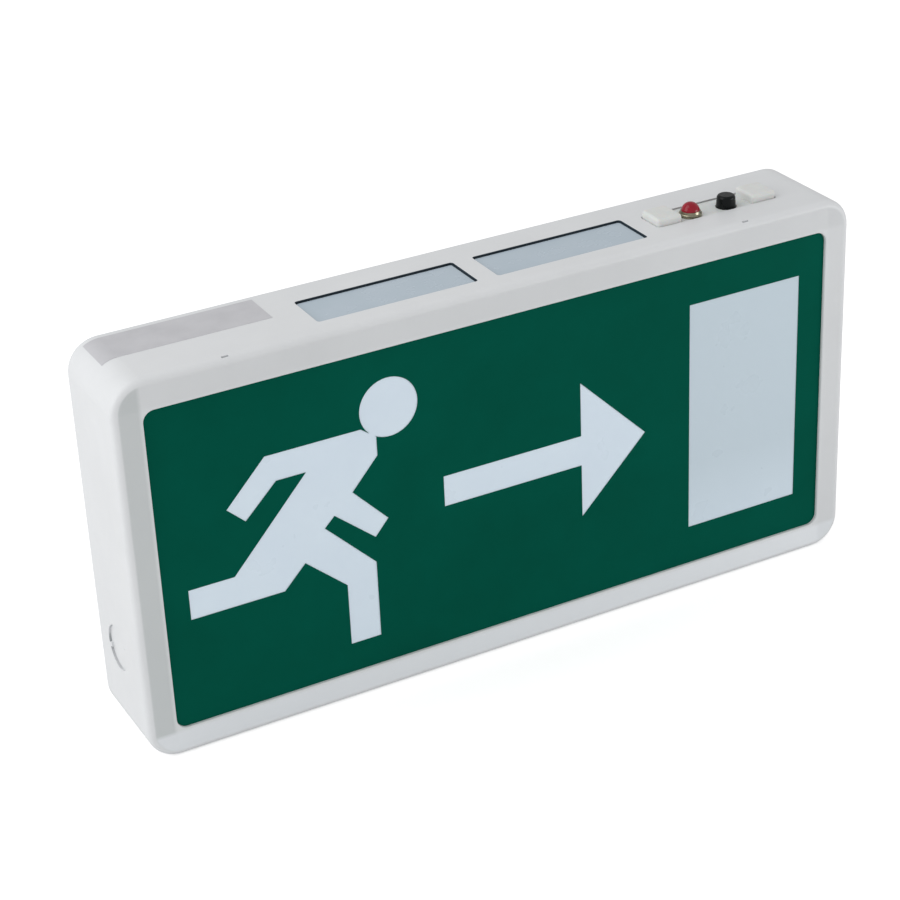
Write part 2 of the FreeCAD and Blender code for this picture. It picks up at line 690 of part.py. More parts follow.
def cut_nib_ways(body):
    """Lead-in grooves and deeper seats in the top and bottom walls for the tray's snap nibs."""
    width = s.NibWidth + s.NibClearance * 2
    shallow = s.NibBite + s.NibClearance
    length = s.TrayUpstand + s.NibClearance
    for side in (-1, 1):
        left = s.NibSpacing * (side / 2) - width / 2
        tag = "left" if side < 0 else "right"
        box(body, "top_way_" + tag, (left, back - length, ceiling), (width, length, shallow), cut=True)
        box(body, "bottom_way_" + tag, (left, back - length, s.CoverWall - shallow),
            (width, length, shallow), cut=True)


def cut_notches(body):
    """Two small slots over the legend panel, in the top face near the front."""
    notches = new_sketch(body, "notches", "XY_Plane", top)
    for side in (-1, 1):
        middle = windows_middle + (opening_right - s.NotchInset) * side
        rectangle(notches, middle - s.NotchLength / 2, front + s.NotchFromFront - s.NotchWidth / 2,
                  s.NotchLength, s.NotchWidth)
    pocket(body, notches, s.NotchDepth)


def cut_knockout(body):
    """The conduit knockout in the left end: a round recess with two bridges, and a thin ring."""
    y = front + s.KnockoutFromFront
    up = s.KnockoutHeight
    recess = new_sketch(body, "knockout", "YZ_Plane", -right)
    circle(recess, y, up, s.KnockoutDiameter)
    pocket(body, recess, s.KnockoutDepth, reverse=True)

    bridges = new_sketch(body, "bridges", "YZ_Plane", s.KnockoutDepth - right)
    along = (math.cos(BRIDGE_ANGLE), math.sin(BRIDGE_ANGLE))
    for side in (-1, 1):
        corners = []
        for far, wide in ((-1, -0.5), (-1, 0.5), (0.25, 0.5), (0.25, -0.5)):
            out = (s.KnockoutDiameter / 2 + s.KnockoutBridge * far) * side
            off = s.KnockoutBridge * wide
            corners.append((y + out * along[0] - off * along[1], up + out * along[1] + off * along[0]))
        polygon(bridges, corners)
    pad(body, bridges, s.KnockoutDepth, reverse=True)

    ring = new_sketch(body, "ring", "YZ_Plane", -cavity_right)
    circle(ring, y, up, s.KnockoutDiameter)
    circle(ring, y, up, s.KnockoutDiameter - s.KnockoutGroove * 2)
    pocket(body, ring, s.CoverWall - s.KnockoutDepth - s.KnockoutWeb)


def make_legend_film():
    """The green film: a sheet of the panel's size with the figure, the arrow and the door cut out."""
    body = new_body("legend_film")
    blank = new_sketch(body, "blank", "XZ_Plane", -film_front)
    rectangle(blank, -panel_right, panel_bottom, panel_right * 2, panel_top - panel_bottom)
    pad(body, blank, s.FilmThickness, reverse=True)

    unit = opening_height
    left = unit * RUNNER_MARGIN - opening_right
    tall = unit * RUNNER_HEIGHT
    signs = new_sketch(body, "signs", "XZ_Plane", -film_front)
    polygon(signs, [(left + tall * across, legend_middle + tall * up) for across, up in RUNNER_BODY])

    middle = opening_right * 2 * ARROW_SHIFT
    start, neck, height = ARROW_SHAFT
    tip, head = ARROW_HEAD
    arrow = [(start, -height / 2), (neck, -height / 2), (neck, -head / 2), (tip, 0.0),
             (neck, head / 2), (neck, height / 2), (start, height / 2)]
    polygon(signs, [(middle + unit * across, legend_middle + unit * up) for across, up in arrow])

    width, height = DOOR
    rectangle(signs, opening_right - unit * (DOOR_MARGIN + width), legend_middle - unit * (height / 2),
              unit * width, unit * height)
    pocket(body, signs, s.FilmThickness * 2)

    face = new_sketch(body, "head", "XZ_Plane", -film_front)
    across, up, diameter = RUNNER_HEAD
    circle(face, left + tall * across, legend_middle + tall * up, tall * diameter)
    pocket(body, face, s.FilmThickness * 2)


def make_diffuser_panel():
    """The opal panel behind the film."""
    body = new_body("diffuser_panel")
    blank = new_sketch(body, "blank", "XZ_Plane", -panel_front)
    rectangle(blank, -panel_right, panel_bottom, panel_right * 2, panel_top - panel_bottom)
    pad(body, blank, s.DiffuserThickness, reverse=True)


def make_window_panes():
    """The two opal panes, bonded under the top wall; they share the rib between the windows."""
    names = ("window_pane_left", "window_pane_right")
    reach = s.PaneOverlap
    for name, left in zip(names, window_lefts()):
        body = new_body(name)
        blank = new_sketch(body, "blank", "XY_Plane", ceiling)
        rectangle(blank, left - reach, window_front - reach, window_length + reach * 2,
                  s.WindowWidth + reach * 2)
        pad(body, blank, s.PaneThickness, reverse=True)
        raised = new_sketch(body, "raised", "XY_Plane", ceiling)
        rounded_rectangle(raised, left + s.PaneGap, window_front + s.PaneGap,
                          window_length - s.PaneGap * 2, s.WindowWidth - s.PaneGap * 2,
                          s.WindowRadius - s.PaneGap / 2)
        pad(body, raised, s.CoverWall - s.PaneSink)


def make_control_insert():
    """The white control insert: flange under the wall, sunken floor, two guard blocks, two legs."""
    body = new_body("control_insert")
    left = control_x - s.ControlLength / 2
    low = control_y - s.ControlWidth / 2
    reach = s.FlangeOverlap
    flange = new_sketch(body, "flange", "XY_Plane", flange_bottom)
    rectangle(flange, left - reach, low - reach, s.ControlLength + reach * 2, s.ControlWidth + reach * 2)
    pad(body, flange, s.FlangeThickness)
    floor = new_sketch(body, "floor", "XY_Plane", ceiling)
    rounded_rectangle(floor, left, low, s.ControlLength, s.ControlWidth, s.GuardCorner)
    pad(body, floor, s.CoverWall - s.ControlSink)
    guards = new_sketch(body, "guards", "XY_Plane", control_floor)
    for corner in (left, left + s.ControlLength - s.GuardLength):
        rounded_rectangle(guards, corner, low, s.GuardLength, s.ControlWidth, s.GuardCorner)
    pad(body, guards, s.GuardHeight + s.ControlSink)
    guard_top = top + s.GuardHeight
    fillet(body, "guard_round", s.GuardRound, lambda edge: level(edge, "Z", guard_top))
    for name, x in (("left_leg", left), ("right_leg", left + s.ControlLength - s.LegThickness)):
        box(body, name, (x, low, board_top), (s.LegThickness, s.ControlWidth, flange_bottom - board_top))
    holes = new_sketch(body, "holes", "XY_Plane", control_floor)
    circle(holes, led_x, push_y, s.BezelCollar)
    circle(holes, button_x, push_y, s.ButtonDiameter + s.ButtonGap * 2)
    pocket(body, holes, s.BoardDrop)


def make_indicator():
    """The red lens on its spacer, and the metal ring that it looks out of."""
    base = (led_x, push_y, top)
    foot = board_top - top + s.LedSpacerHeight
    radius = s.LedDiameter / 2
    shoulder = s.LedHeight - radius
    lens = new_body("led_lens", base)
    profile = new_sketch(lens, "profile", "XZ_Plane")
    dome_profile(profile, foot, radius, shoulder)
    turned(lens, profile)

    bore = radius + s.ScrewClearance / 2
    ring = new_body("led_bezel", base)
    profile = new_sketch(ring, "profile", "XZ_Plane")
    underside = flange_bottom - top
    floor = control_floor - top
    step = s.BezelHeight / 2
    barrel = s.BezelCollar / 2 - s.ScrewClearance / 2
    flange = s.BezelDiameter / 2
    polygon(profile, [(bore, underside), (barrel, underside), (barrel, floor), (flange, floor),
                      (flange, step - s.ScrewClearance * 3), (flange - s.ScrewClearance * 3, step),
                      (barrel, step), (bore + s.ScrewClearance * 2, s.BezelHeight), (bore, s.BezelHeight)])
    turned(ring, profile)

    spacer = new_body("led_spacer", base)
    profile = new_sketch(spacer, "profile", "XZ_Plane")
    rectangle(profile, radius / 2, board_top - top, radius / 2, s.LedSpacerHeight)
    turned(spacer, profile)


def dome_profile(sketch, foot, radius, shoulder):
    """Half section of a round lens: straight side and a quarter-circle dome."""
    low, high = float(foot), float(shoulder)
    wide = float(radius)
    corners = [Vector(0, low, 0), Vector(wide, low, 0), Vector(wide, high, 0)]
    sketch.addGeometry(Part.LineSegment(corners[0], corners[1]))
    sketch.addGeometry(Part.LineSegment(corners[1], corners[2]))
    arc = Part.ArcOfCircle(Part.Circle(Vector(0, high, 0), Vector(0, 0, 1), wide), 0, math.pi / 2)
    sketch.addGeometry(arc)
    sketch.addGeometry(Part.LineSegment(Vector(0, high + wide, 0), corners[0]))
    for line in range(4):
        sketch.addConstraint(Sketcher.Constraint("Coincident", line, 2, (line + 1) % 4, 1))
    sketch.addConstraint(Sketcher.Constraint("PointOnObject", 2, 3, -2))
    sketch.addConstraint(Sketcher.Constraint("PointOnObject", 2, 2, -2))
    sketch.addConstraint(Sketcher.Constraint("PointOnObject", 0, 1, -2))
    sketch.addConstraint(Sketcher.Constraint("Horizontal", 0))
    sketch.addConstraint(Sketcher.Constraint("Vertical", 1))
    measured(sketch, "DistanceY", foot, -1, 1, 0, 1)
    measured(sketch, "Radius", radius, 2)
    measured(sketch, "DistanceY", shoulder, -1, 1, 2, 1)
    measured(sketch, "DistanceY", shoulder, -1, 1, 2, 3)


def make_test_button():
    """The push button: domed cap, flange that stops it under the insert, and stem to the switch."""
    body = new_body("test_button", (button_x, push_y, top))
    profile = new_sketch(body, "profile", "XZ_Plane")
    underside = flange_bottom - top
    foot = s.ButtonDiameter / 2
    crown = s.ButtonTopDiameter / 2
    stop = foot + s.ButtonGap + s.ButtonStop
    stem = s.StemDiameter / 2
    tip = board_top - top + s.SwitchHeight + s.ButtonTravel * 2 + s.StemGap
    polygon(profile, [(0.0, tip), (stem, tip), (stem, underside - s.ButtonStop), (stop, underside - s.ButtonStop),
                      (stop, underside), (foot, underside), (foot, -s.ControlSink),
                      (crown, s.ButtonHeight), (0.0, s.ButtonHeight)])
    turned(body, profile)
    fillet(body, "crown", s.ButtonRound, lambda edge: level(edge, "Z", s.ButtonHeight))


def make_button_spring():
    """The coil spring between the switch and the button's flange."""
    body = new_body("button_spring", (button_x, push_y, board_top + s.SwitchHeight))
    profile = new_sketch(body, "wire", "XZ_Plane")
    radius = s.SpringDiameter / 2 - s.SpringWire / 2
    circle(profile, radius, s.SpringWire / 2, s.SpringWire)
    gap = flange_bottom - s.ButtonStop - board_top - s.SwitchHeight
    height = gap - s.SpringWire
    feature(body, "AdditiveHelix", "coil", {"Height": height, "Pitch": height / 3.5}, Profile=profile,
            ReferenceAxis=(profile, ["V_Axis"]), Mode=0)


def make_control_board():
    """The small board under the insert, with the test switch on it."""
    body = new_body("control_board")
    blank = new_sketch(body, "blank", "XY_Plane", board_top)
    rectangle(blank, control_x - s.ControlBoardLength / 2, control_y - s.ControlBoardWidth / 2,
              s.ControlBoardLength, s.ControlBoardWidth)
    pad(body, blank, s.BoardThickness, reverse=True)
    holes = new_sketch(body, "holes", "XY_Plane", board_top)
    for x, y in board_boss_places():
        circle(holes, x, y, pilot)
    pocket(body, holes, s.BoardThickness * 2)

    switch = new_body("test_switch", (button_x, push_y, board_top))
    half = s.SwitchSize / 2
    box(switch, "case", (-half, -half, 0), (s.SwitchSize, s.SwitchSize, s.SwitchHeight))
    rod(switch, "actuator", (0, 0, s.SwitchHeight), Vector(0, 0, 1), s.StemDiameter, s.ButtonTravel)

    under = board_top - s.BoardThickness
    screws("board_screws", [(x, y, under) for x, y in board_boss_places()], Vector(0, 0, 1))


def make_rating_label():
    """The silver label: a thin strip along the top face that bends round the left corner."""
    body = new_body("rating_label")
    strip = new_sketch(body, "strip", "XZ_Plane", -(front + s.LabelFromFront))
    bend = right - s.CornerRadius
    low = top - s.CornerRadius
    end = right - s.LabelInset
    end_x = s.LabelLength - right
    for radius in (s.CornerRadius, s.CornerRadius + s.LabelThickness):
        line = strip.GeometryCount
        arc = line + 1
        height = low + radius
        angle = math.asin(float(end - bend) / float(radius))
        strip.addGeometry(Part.LineSegment(Vector(float(end_x), float(height), 0),
                                           Vector(-float(bend), float(height), 0)))
        ring = Part.Circle(Vector(-float(bend), float(low), 0), Vector(0, 0, 1), float(radius))
        strip.addGeometry(Part.ArcOfCircle(ring, math.pi / 2, math.pi / 2 + angle))
        strip.addConstraint(Sketcher.Constraint("Tangent", line, 2, arc, 1))
        strip.addConstraint(Sketcher.Constraint("Horizontal", line))
        pin_point(strip, line, 1, end_x, height)
        pin_point(strip, arc, 3, -bend, low)
        measured(strip, "DistanceX", -end, -1, 1, arc, 2)
    for inner, outer, point in ((0, 2, 1), (1, 3, 2)):
        line = strip.addGeometry(Part.LineSegment(strip.getPoint(inner, point),
                                                  strip.getPoint(outer, point)))
        strip.addConstraint(Sketcher.Constraint("Coincident", line, 1, inner, point))
        strip.addConstraint(Sketcher.Constraint("Coincident", line, 2, outer, point))
    pad(body, strip, s.LabelWidth, reverse=True)


# ---------------------------------------------------------------- the wall tray and what it carries
def fixing_places():
    """The four wall screw holes."""
    return [((right - s.FixingInset) * side, z)
            for side in (-1, 1) for z in (s.FixingHeight, top - s.FixingDrop)]


def reflector_places():
    """The four screws of the reflector."""
    return [((reflector_end - s.ReflectorScrewInset) * side, lamp_z + s.ReflectorFloor * (rise / 3))
            for side in (-1, 1) for rise in (-1, 1)]


def gear_places():
    """The four screws of the gear board."""
    across = s.GearLength / 2 - s.GearScrewInset
    up = s.GearWidth / 2 - s.GearScrewInset
    return [(gear_x + across * side, s.GearHeight + up * rise) for side in (-1, 1) for rise in (-1, 1)]


def clip_lines():
    """Middles of the two battery clips along the casing."""
    return (battery_left + s.ClipInset, battery_right - s.ClipInset)


def clip_places():
    """The four screws of the battery clips."""
    return [(x, s.BatteryHeight + s.ClipScrews * (rise / 2))
            for x in clip_lines() for rise in (-1, 1)]


def holder_places():
    """The screws of the two lampholders, one in each foot."""
    x = holder_inner + s.HolderThickness + s.HolderFoot / 2
    return [(x * side, lamp_z) for side in (-1, 1)]


def make_gear_tray():
    """The back tray: a flat back with an edge all round, bosses, wall screw holes and cable entry."""
    body = new_body("gear_tray")
    inset = s.CoverWall + s.TrayGap
    outer = new_sketch(body, "outer", "XZ_Plane", -back)
    rounded_rectangle(outer, -right + inset, inset, s.BoxLength - inset * 2, top - inset * 2,
                      s.CornerRadius - inset)
    pad(body, outer, s.TrayUpstand)
    inner = new_sketch(body, "inner", "XZ_Plane", -(back - s.TrayUpstand))
    rounded_rectangle(inner, -right + tray_edge, tray_edge, s.BoxLength - tray_edge * 2,
                      top - tray_edge * 2, s.CornerRadius - tray_edge)
    pocket(body, inner, s.TrayUpstand - s.TrayThickness)

    nib_depth = s.TrayWall
    height = s.TrayGap + s.NibBite
    for side in (-1, 1):
        left = s.NibSpacing * (side / 2) - s.NibWidth / 2
        tag = "left" if side < 0 else "right"
        y = back - s.TrayUpstand
        box(body, "top_nib_" + tag, (left, y, top - inset), (s.NibWidth, nib_depth, height))
        box(body, "bottom_nib_" + tag, (left, y, inset - height), (s.NibWidth, nib_depth, height))

    add_tray_bosses(body)
    holes = new_sketch(body, "holes", "XZ_Plane", -tray_front)
    for x, z in fixing_places():
        circle(holes, x, z, s.FixingDiameter)
    circle(holes, 0, s.EntryHeight, s.EntryDiameter)
    pocket(body, holes, s.TrayThickness * 2)


def add_tray_bosses(body):
    """Bosses with blind holes: for the reflector, the gear board, the clips and the lampholders."""
    foot = s.ShortScrewLength - s.ClipBase
    groups = (("reflector", reflector_places(), s.ReflectorStandoff, s.ScrewLength - s.ReflectorThickness),
              ("gear", gear_places(), s.GearStandoff, s.ScrewLength - s.BoardThickness),
              ("foot", clip_places() + holder_places(), s.LowBoss, foot))
    for name, places, rise, bite in groups:
        bosses = new_sketch(body, name + "_bosses", "XZ_Plane", -tray_front)
        holes = new_sketch(body, name + "_holes", "XZ_Plane", rise - tray_front)
        for x, z in places:
            circle(bosses, x, z, s.BossDiameter)
            circle(holes, x, z, pilot)
        pad(body, bosses, rise)
        pocket(body, holes, bite + s.ScrewRoom)


def make_cable_grommet():
    """The rubber grommet, with a flange on each face of the tray's back."""
    body = new_body("cable_grommet", (0, tray_front, s.EntryHeight), Rotation(Vector(1, 0, 0), 90))
    profile = new_sketch(body, "profile", "XZ_Plane")
    bore = s.GrommetBore / 2
    neck = s.EntryDiameter / 2
    flange = s.GrommetFlange / 2
    polygon(profile, [(bore, -s.TrayThickness), (neck, -s.TrayThickness), (neck, 0),
                      (flange, 0), (flange, s.GrommetLip / 2),
                      (neck, s.GrommetLip), (bore, s.GrommetLip)])
    turned(body, profile)


def make_reflector():
    """The white sheet behind the lamp, folded along both long sides."""
    body = new_body("reflector", (0, sheet_back, lamp_z))
    section = new_sketch(body, "section", "YZ_Plane")
    half = s.ReflectorFloor / 2
    wing = s.ReflectorWing
    thick = s.ReflectorThickness
    slant = thick * 0.414214
    outside = [(0.0, -half - slant), (-wing, -half - slant - wing)]
    inside = [(-wing - thick * 0.707107, -half - slant - wing + thick * 0.707107), (-thick, -half)]
    upper = [(y, -z) for y, z in reversed(inside)] + [(y, -z) for y, z in reversed(outside)]
    polygon(section, outside + inside + upper)
    pad(body, section, reflector_end * 2, both_ways=True)
    holes = new_sketch(body, "holes", "XZ_Plane", s.ReflectorThickness)
    for x, z in reflector_places():
        circle(holes, x, z - lamp_z, pilot)
    pocket(body, holes, s.ReflectorThickness * 2)
    seat = sheet_back - s.ReflectorThickness
    screws("reflector_screws", [(x, seat, z) for x, z in reflector_places()], Vector(0, 1, 0))


def make_lamp():
    """The sealed glass tube and its two metal caps with contact pins."""
    centre = (0, lamp_y, lamp_z)
    tube = new_body("lamp_tube", centre)
    inside = s.LampDiameter / 2 - s.LampCapWall
    half = lamp_end - s.LampCapWall
    rod(tube, "glass", (-half, 0, 0), Vector(1, 0, 0), inside * 2, half * 2)
    fillet(tube, "ends", s.LampDiameter / 6, lambda edge: edge.BoundBox.XLength < 1e-6)

    for name, side in (("lamp_cap_left", 180), ("lamp_cap_right", 0)):
        cap = new_body(name, centre, Rotation(Vector(0, 1, 0), side))
        profile = new_sketch(cap, "profile", "XZ_Plane")
        face = lamp_end
        rim = face - s.LampCapLength
        wide = s.LampDiameter / 2
        wall = s.LampCapWall
        polygon(profile, [(rim, wide - wall), (face - wall, wide - wall), (face - wall, 0.0),
                          (face, 0.0), (face, wide - wall), (face - wall, wide), (rim, wide)])
        turned(cap, profile, "H_Axis")
        for pin, y in (("front_pin", s.PinPitch * -0.5), ("back_pin", s.PinPitch * 0.5)):
            rod(cap, pin, (face - wall, y, 0), Vector(1, 0, 0), s.PinDiameter, s.PinLength + wall)


def make_lampholders():
    """Push-in lampholders, one at each end; each stands on the tray with a screw through its foot."""
    for name, side in (("lampholder_left", 180), ("lampholder_right", 0)):
        body = new_body(name, (0, lamp_y, lamp_z), Rotation(Vector(0, 1, 0), side))
        foot_y = boss_face - lamp_y
        side_view = new_sketch(body, "side", "YZ_Plane", holder_inner)
        half = s.HolderWidth / 2
        corner = half / 2
        reach = -s.HolderReach
        polygon(side_view, [(foot_y, -half), (foot_y, half), (reach + corner, half), (reach, corner),
                            (reach, -corner), (reach + corner, -half)])
        pad(body, side_view, s.HolderThickness)
        play = s.HolderGap
        slot = s.PinDiameter + play * 2
        deep = s.PinPitch / 2 + s.PinDiameter / 2 + play
        box(body, "slot", (holder_inner, reach, -slot / 2),
            (s.PinLength + play, s.HolderReach + deep, slot), cut=True)
        thick = s.ClipBase
        box(body, "foot", (holder_inner + s.HolderThickness, foot_y - thick, -half),
            (s.HolderFoot, thick, s.HolderWidth))
        x = holder_inner + s.HolderThickness + s.HolderFoot / 2
        rod(body, "screw_hole", (x, foot_y - thick * 2, 0), Vector(0, 1, 0), pilot, thick * 3, cut=True)
    seat = boss_face - s.ClipBase
    screws("holder_screws", [(x, seat, z) for x, z in holder_places()], Vector(0, 1, 0),
           s.ShortScrewLength)


def make_battery():
    """Three sleeved cells in a stick, held by two spring clips."""
    centre = (battery_x, battery_y, s.BatteryHeight)
    body = new_body("battery_pack", centre)
    profile = new_sketch(body, "profile", "XZ_Plane")
    radius = s.CellDiameter / 2
    groove = s.CellGroove
    start = cell_length * -1.5
    corners = [(start, 0.0), (start, radius - groove)]
    for cell in range(3):
        left = start + cell_length * cell
        corners += [(left + groove, radius), (left + cell_length - groove, radius)]
        corners += [(left + cell_length, radius - groove)]
    corners += [(start + cell_length * 3, 0.0)]
    polygon(profile, corners)
    turned(body, profile, "H_Axis")

    for name, x in zip(("battery_clip_left", "battery_clip_right"), clip_lines()):
        clip = new_body(name, (x, battery_y, s.BatteryHeight))
        ring = new_sketch(clip, "ring", "YZ_Plane", s.ClipWidth * -0.5)
        circle(ring, 0, 0, s.CellDiameter + s.ClipThickness * 2)
        circle(ring, 0, 0, s.CellDiameter)
        pad(clip, ring, s.ClipWidth)
        foot_y = s.CellDiameter / 2 + s.ClipThickness
        box(clip, "foot", (s.ClipWidth * -0.5, foot_y, s.ClipFoot * -0.5),
            (s.ClipWidth, s.ClipBase, s.ClipFoot))
        box(clip, "root", (s.ClipWidth * -0.5, foot_y - s.ClipBase, s.CellDiameter / -4),
            (s.ClipWidth, s.ClipBase, s.CellDiameter / 2))
        rod(clip, "bed", (s.ClipWidth * -1, 0, 0), Vector(1, 0, 0), s.CellDiameter, s.ClipWidth * 2, cut=True)
        mouth = s.CellDiameter * 0.8
        box(clip, "mouth", (-s.ClipWidth, -s.CellDiameter, mouth / -2),
            (s.ClipWidth * 2, s.CellDiameter, mouth), cut=True)
        for tag, rise in (("low", -0.5), ("high", 0.5)):
            rod(clip, tag + "_hole", (0, foot_y - s.ClipBase, s.ClipScrews * rise), Vector(0, 1, 0),
                pilot, s.ClipBase * 3, cut=True)
    seat = boss_face - s.ClipBase
    screws("clip_screws", [(x, seat, z) for x, z in clip_places()], Vector(0, 1, 0),
           s.ShortScrewLength)


def make_gear():
    """The gear board and the larger parts on it."""
    board = new_body("gear_board")
    blank = new_sketch(board, "blank", "XZ_Plane", -gear_back)
    rectangle(blank, gear_x - s.GearLength / 2, s.GearHeight - s.GearWidth / 2, s.GearLength,
              s.GearWidth)
    pad(board, blank, s.BoardThickness)
    holes = new_sketch(board, "holes", "XZ_Plane", -gear_front)
    for x, z in gear_places():
        circle(holes, x, z, pilot)
    pocket(board, holes, s.BoardThickness * 2)
    screws("gear_screws", [(x, gear_front, z) for x, z in gear_places()], Vector(0, 1, 0))
    make_transformer()
    make_heat_sink()
    make_capacitors()
    make_terminal_block()


def make_transformer():
    """A double-E core standing on the board, and the coil round its middle leg."""
    x = gear_x - s.GearLength * 0.18
    core = new_body("transformer_core", (x, gear_front, s.GearHeight))
    plan = new_sketch(core, "plan", "XY_Plane", s.CoreStack * -0.5)
    half = s.CoreLength / 2
    leg = s.CoreLeg
    rectangle(plan, -half, -s.CoreDepth, s.CoreLength, s.CoreDepth)
    window = (s.CoreLength - leg * 4) / 2
    for left in (-half + leg, leg):
        rectangle(plan, left, leg - s.CoreDepth, window, s.CoreDepth - leg * 2)
    pad(core, plan, s.CoreStack)

    coil = new_body("transformer_coil", (x, gear_front, s.GearHeight))
    end = s.CoreDepth - leg - s.CoilGap
    ring = new_sketch(coil, "ring", "XZ_Plane", end)
    gap = s.CoilGap
    inner_half = leg + gap
    outer_half = leg + window - gap
    tall = s.CoreStack / 2 + gap
    bulge = window - gap * 2
    rounded_rectangle(ring, -outer_half, -tall - bulge, outer_half * 2, (tall + bulge) * 2, s.CoilRound)
    rectangle(ring, -inner_half, -tall, inner_half * 2, tall * 2)
    pocket_length = end - leg - gap
    pad(coil, ring, pocket_length, reverse=True)


def make_heat_sink():
    """A finned aluminium section on the board."""
    x = gear_x + s.GearLength * 0.1
    body = new_body("heat_sink", (x, gear_front, s.GearHeight))
    section = new_sketch(body, "section", "XY_Plane", s.SinkWidth * -0.5)
    fins = 5
    pitch = (s.SinkLength - s.SinkFin) / (fins - 1)
    left = s.SinkLength * -0.5
    corners = [(left, 0.0)]
    for fin in range(fins):
        edge = left + pitch * fin
        corners += [(edge, -s.SinkDepth), (edge + s.SinkFin, -s.SinkDepth)]
        if fin < fins - 1:
            corners += [(edge + s.SinkFin, -s.SinkBase), (edge + pitch, -s.SinkBase)]
    corners += [(left + s.SinkLength, 0.0)]
    polygon(section, corners)
    pad(body, section, s.SinkWidth)


def make_capacitors():
    """Two electrolytic capacitors standing on the board."""
    cans = []
    outward = Rotation(Vector(0, 0, 1), Vector(0, -1, 0))
    for number, rise in enumerate((-0.2, 0.2), start=1):
        base = (gear_x - s.GearLength * 0.4, gear_front, s.GearHeight + s.GearWidth * rise)
        can = primitive("Cylinder", "capacitor_%d_can" % number, base, outward,
                        Radius=s.CapacitorDiameter / 2, Height=s.CapacitorHeight)
        doc.recompute()
        rounded = doc.addObject("Part::Fillet", "capacitor_%d" % number)
        rounded.Base = can
        far = float(gear_front) - float(s.CapacitorHeight)
        rim = [index for index, edge in enumerate(can.Shape.Edges, start=1) if level(edge, "Y", far)]
        rounded.Edges = [(index, float(s.CapacitorDiameter) / 10, float(s.CapacitorDiameter) / 10)
                         for index in rim]
        cans.append(rounded)
    compound("capacitors", cans)


def make_terminal_block():
    """The four-way mains terminal block with its clamping screws."""
    ways = 4
    x = gear_x + s.GearLength * 0.36
    length = s.TerminalPitch * ways
    body = new_body("terminal_block", (x, gear_front, s.GearHeight))
    half = s.TerminalWidth / 2
    side = new_sketch(body, "side", "YZ_Plane", length * -0.5)
    step = s.TerminalDepth / 3
    polygon(side, [(0.0, -half), (0.0, half), (step - s.TerminalDepth, half),
                   (-s.TerminalDepth, half - step), (-s.TerminalDepth, step - half),
                   (step - s.TerminalDepth, -half)])
    pad(body, side, length)
    centres = [length * -0.5 + s.TerminalPitch * (way + 0.5) for way in range(ways)]
    wires = new_sketch(body, "wire_holes", "XY_Plane", half)
    for centre in centres:
        circle(wires, centre, s.TerminalDepth * -0.42, s.TerminalBore)
    pocket(body, wires, s.TerminalWidth * 2)
    wells = new_sketch(body, "screw_wells", "XZ_Plane", s.TerminalDepth)
    for centre in centres:
        circle(wells, centre, 0, s.TerminalScrew + s.HolderGap * 2)
    pocket(body, wells, s.TerminalDepth * 0.42)

    heads = []
    for way, centre in enumerate(centres, start=1):
        base = (x + centre, gear_front - s.TerminalDepth * 0.58, s.GearHeight)
        turn = Rotation(Vector(0, 0, 1), Vector(0, -1, 0))
        height = s.TerminalDepth * 0.34
        stud = primitive("Cylinder", "terminal_%d_stud" % way, base, turn, Radius=s.TerminalScrew / 2,
                         Height=height)
        corner = moved(base, turn, (s.ScrewSlot * -0.5, s.TerminalScrew * -0.5, height - s.ScrewSlot))
        slot = primitive("Box", "terminal_%d_slot" % way, corner, turn, Length=s.ScrewSlot,
                         Width=s.TerminalScrew, Height=s.ScrewSlot)
        cut = doc.addObject("Part::Cut", "terminal_%d_screw" % way)
        cut.Base, cut.Tool = stud, slot
        heads.append(cut)
    compound("terminal_screws", heads)


# ---------------------------------------------------------------- build, check and write
def check_document():
    """Stop on any object that failed and on any sub-part without a sound shape."""
    doc.recompute()
    for item in doc.Objects:
        if "Invalid" in item.State or "Error" in item.State:
            raise RuntimeError("%s failed" % item.Label)
    for piece in pieces:
        shape = piece.Shape
        if shape.isNull() or not shape.isValid() or not shape.Solids:
            raise RuntimeError("%s has no sound shape" % piece.Label)


def write_pieces():
    """Write each sub-part to its own file, named after its label."""
    os.makedirs("parts", exist_ok=True)
    for piece in pieces:
        piece.Shape.exportStep("parts/%s.step" % piece.Label)
        bounds = piece.Shape.BoundBox
        print("%-20s %2d solid %9.1f mm3  x %.1f..%.1f  y %.1f..%.1f  z %.1f..%.1f" % (
            piece.Label, len(piece.Shape.Solids), piece.Shape.Volume, bounds.XMin, bounds.XMax,
            bounds.YMin, bounds.YMax, bounds.ZMin, bounds.ZMax))


make_cover_shell()
make_legend_film()
make_diffuser_panel()
make_window_panes()
make_control_insert()
make_indicator()
make_test_button()
make_button_spring()
make_control_board()
make_rating_label()
make_gear_tray()
make_cable_grommet()
make_reflector()
make_lamp()
make_lampholders()
make_battery()
make_gear()
check_document()
write_pieces()
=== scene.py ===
# %% [markdown]
# # An emergency exit light, dressed
#
# The object is a slim white box that hangs on a wall above a door. A green film with a running
# figure, an arrow and a door fills its front, and two opal windows in its top let light fall on the
# floor below. The solids come from the imported model. This notebook gives every piece its finish,
# swaps the button's spring for a coil of the same form, lights the whole and sets the camera.

# %% Load the imported model
import json
import math

import bpy
import numpy as np
from mathutils import Matrix, Vector

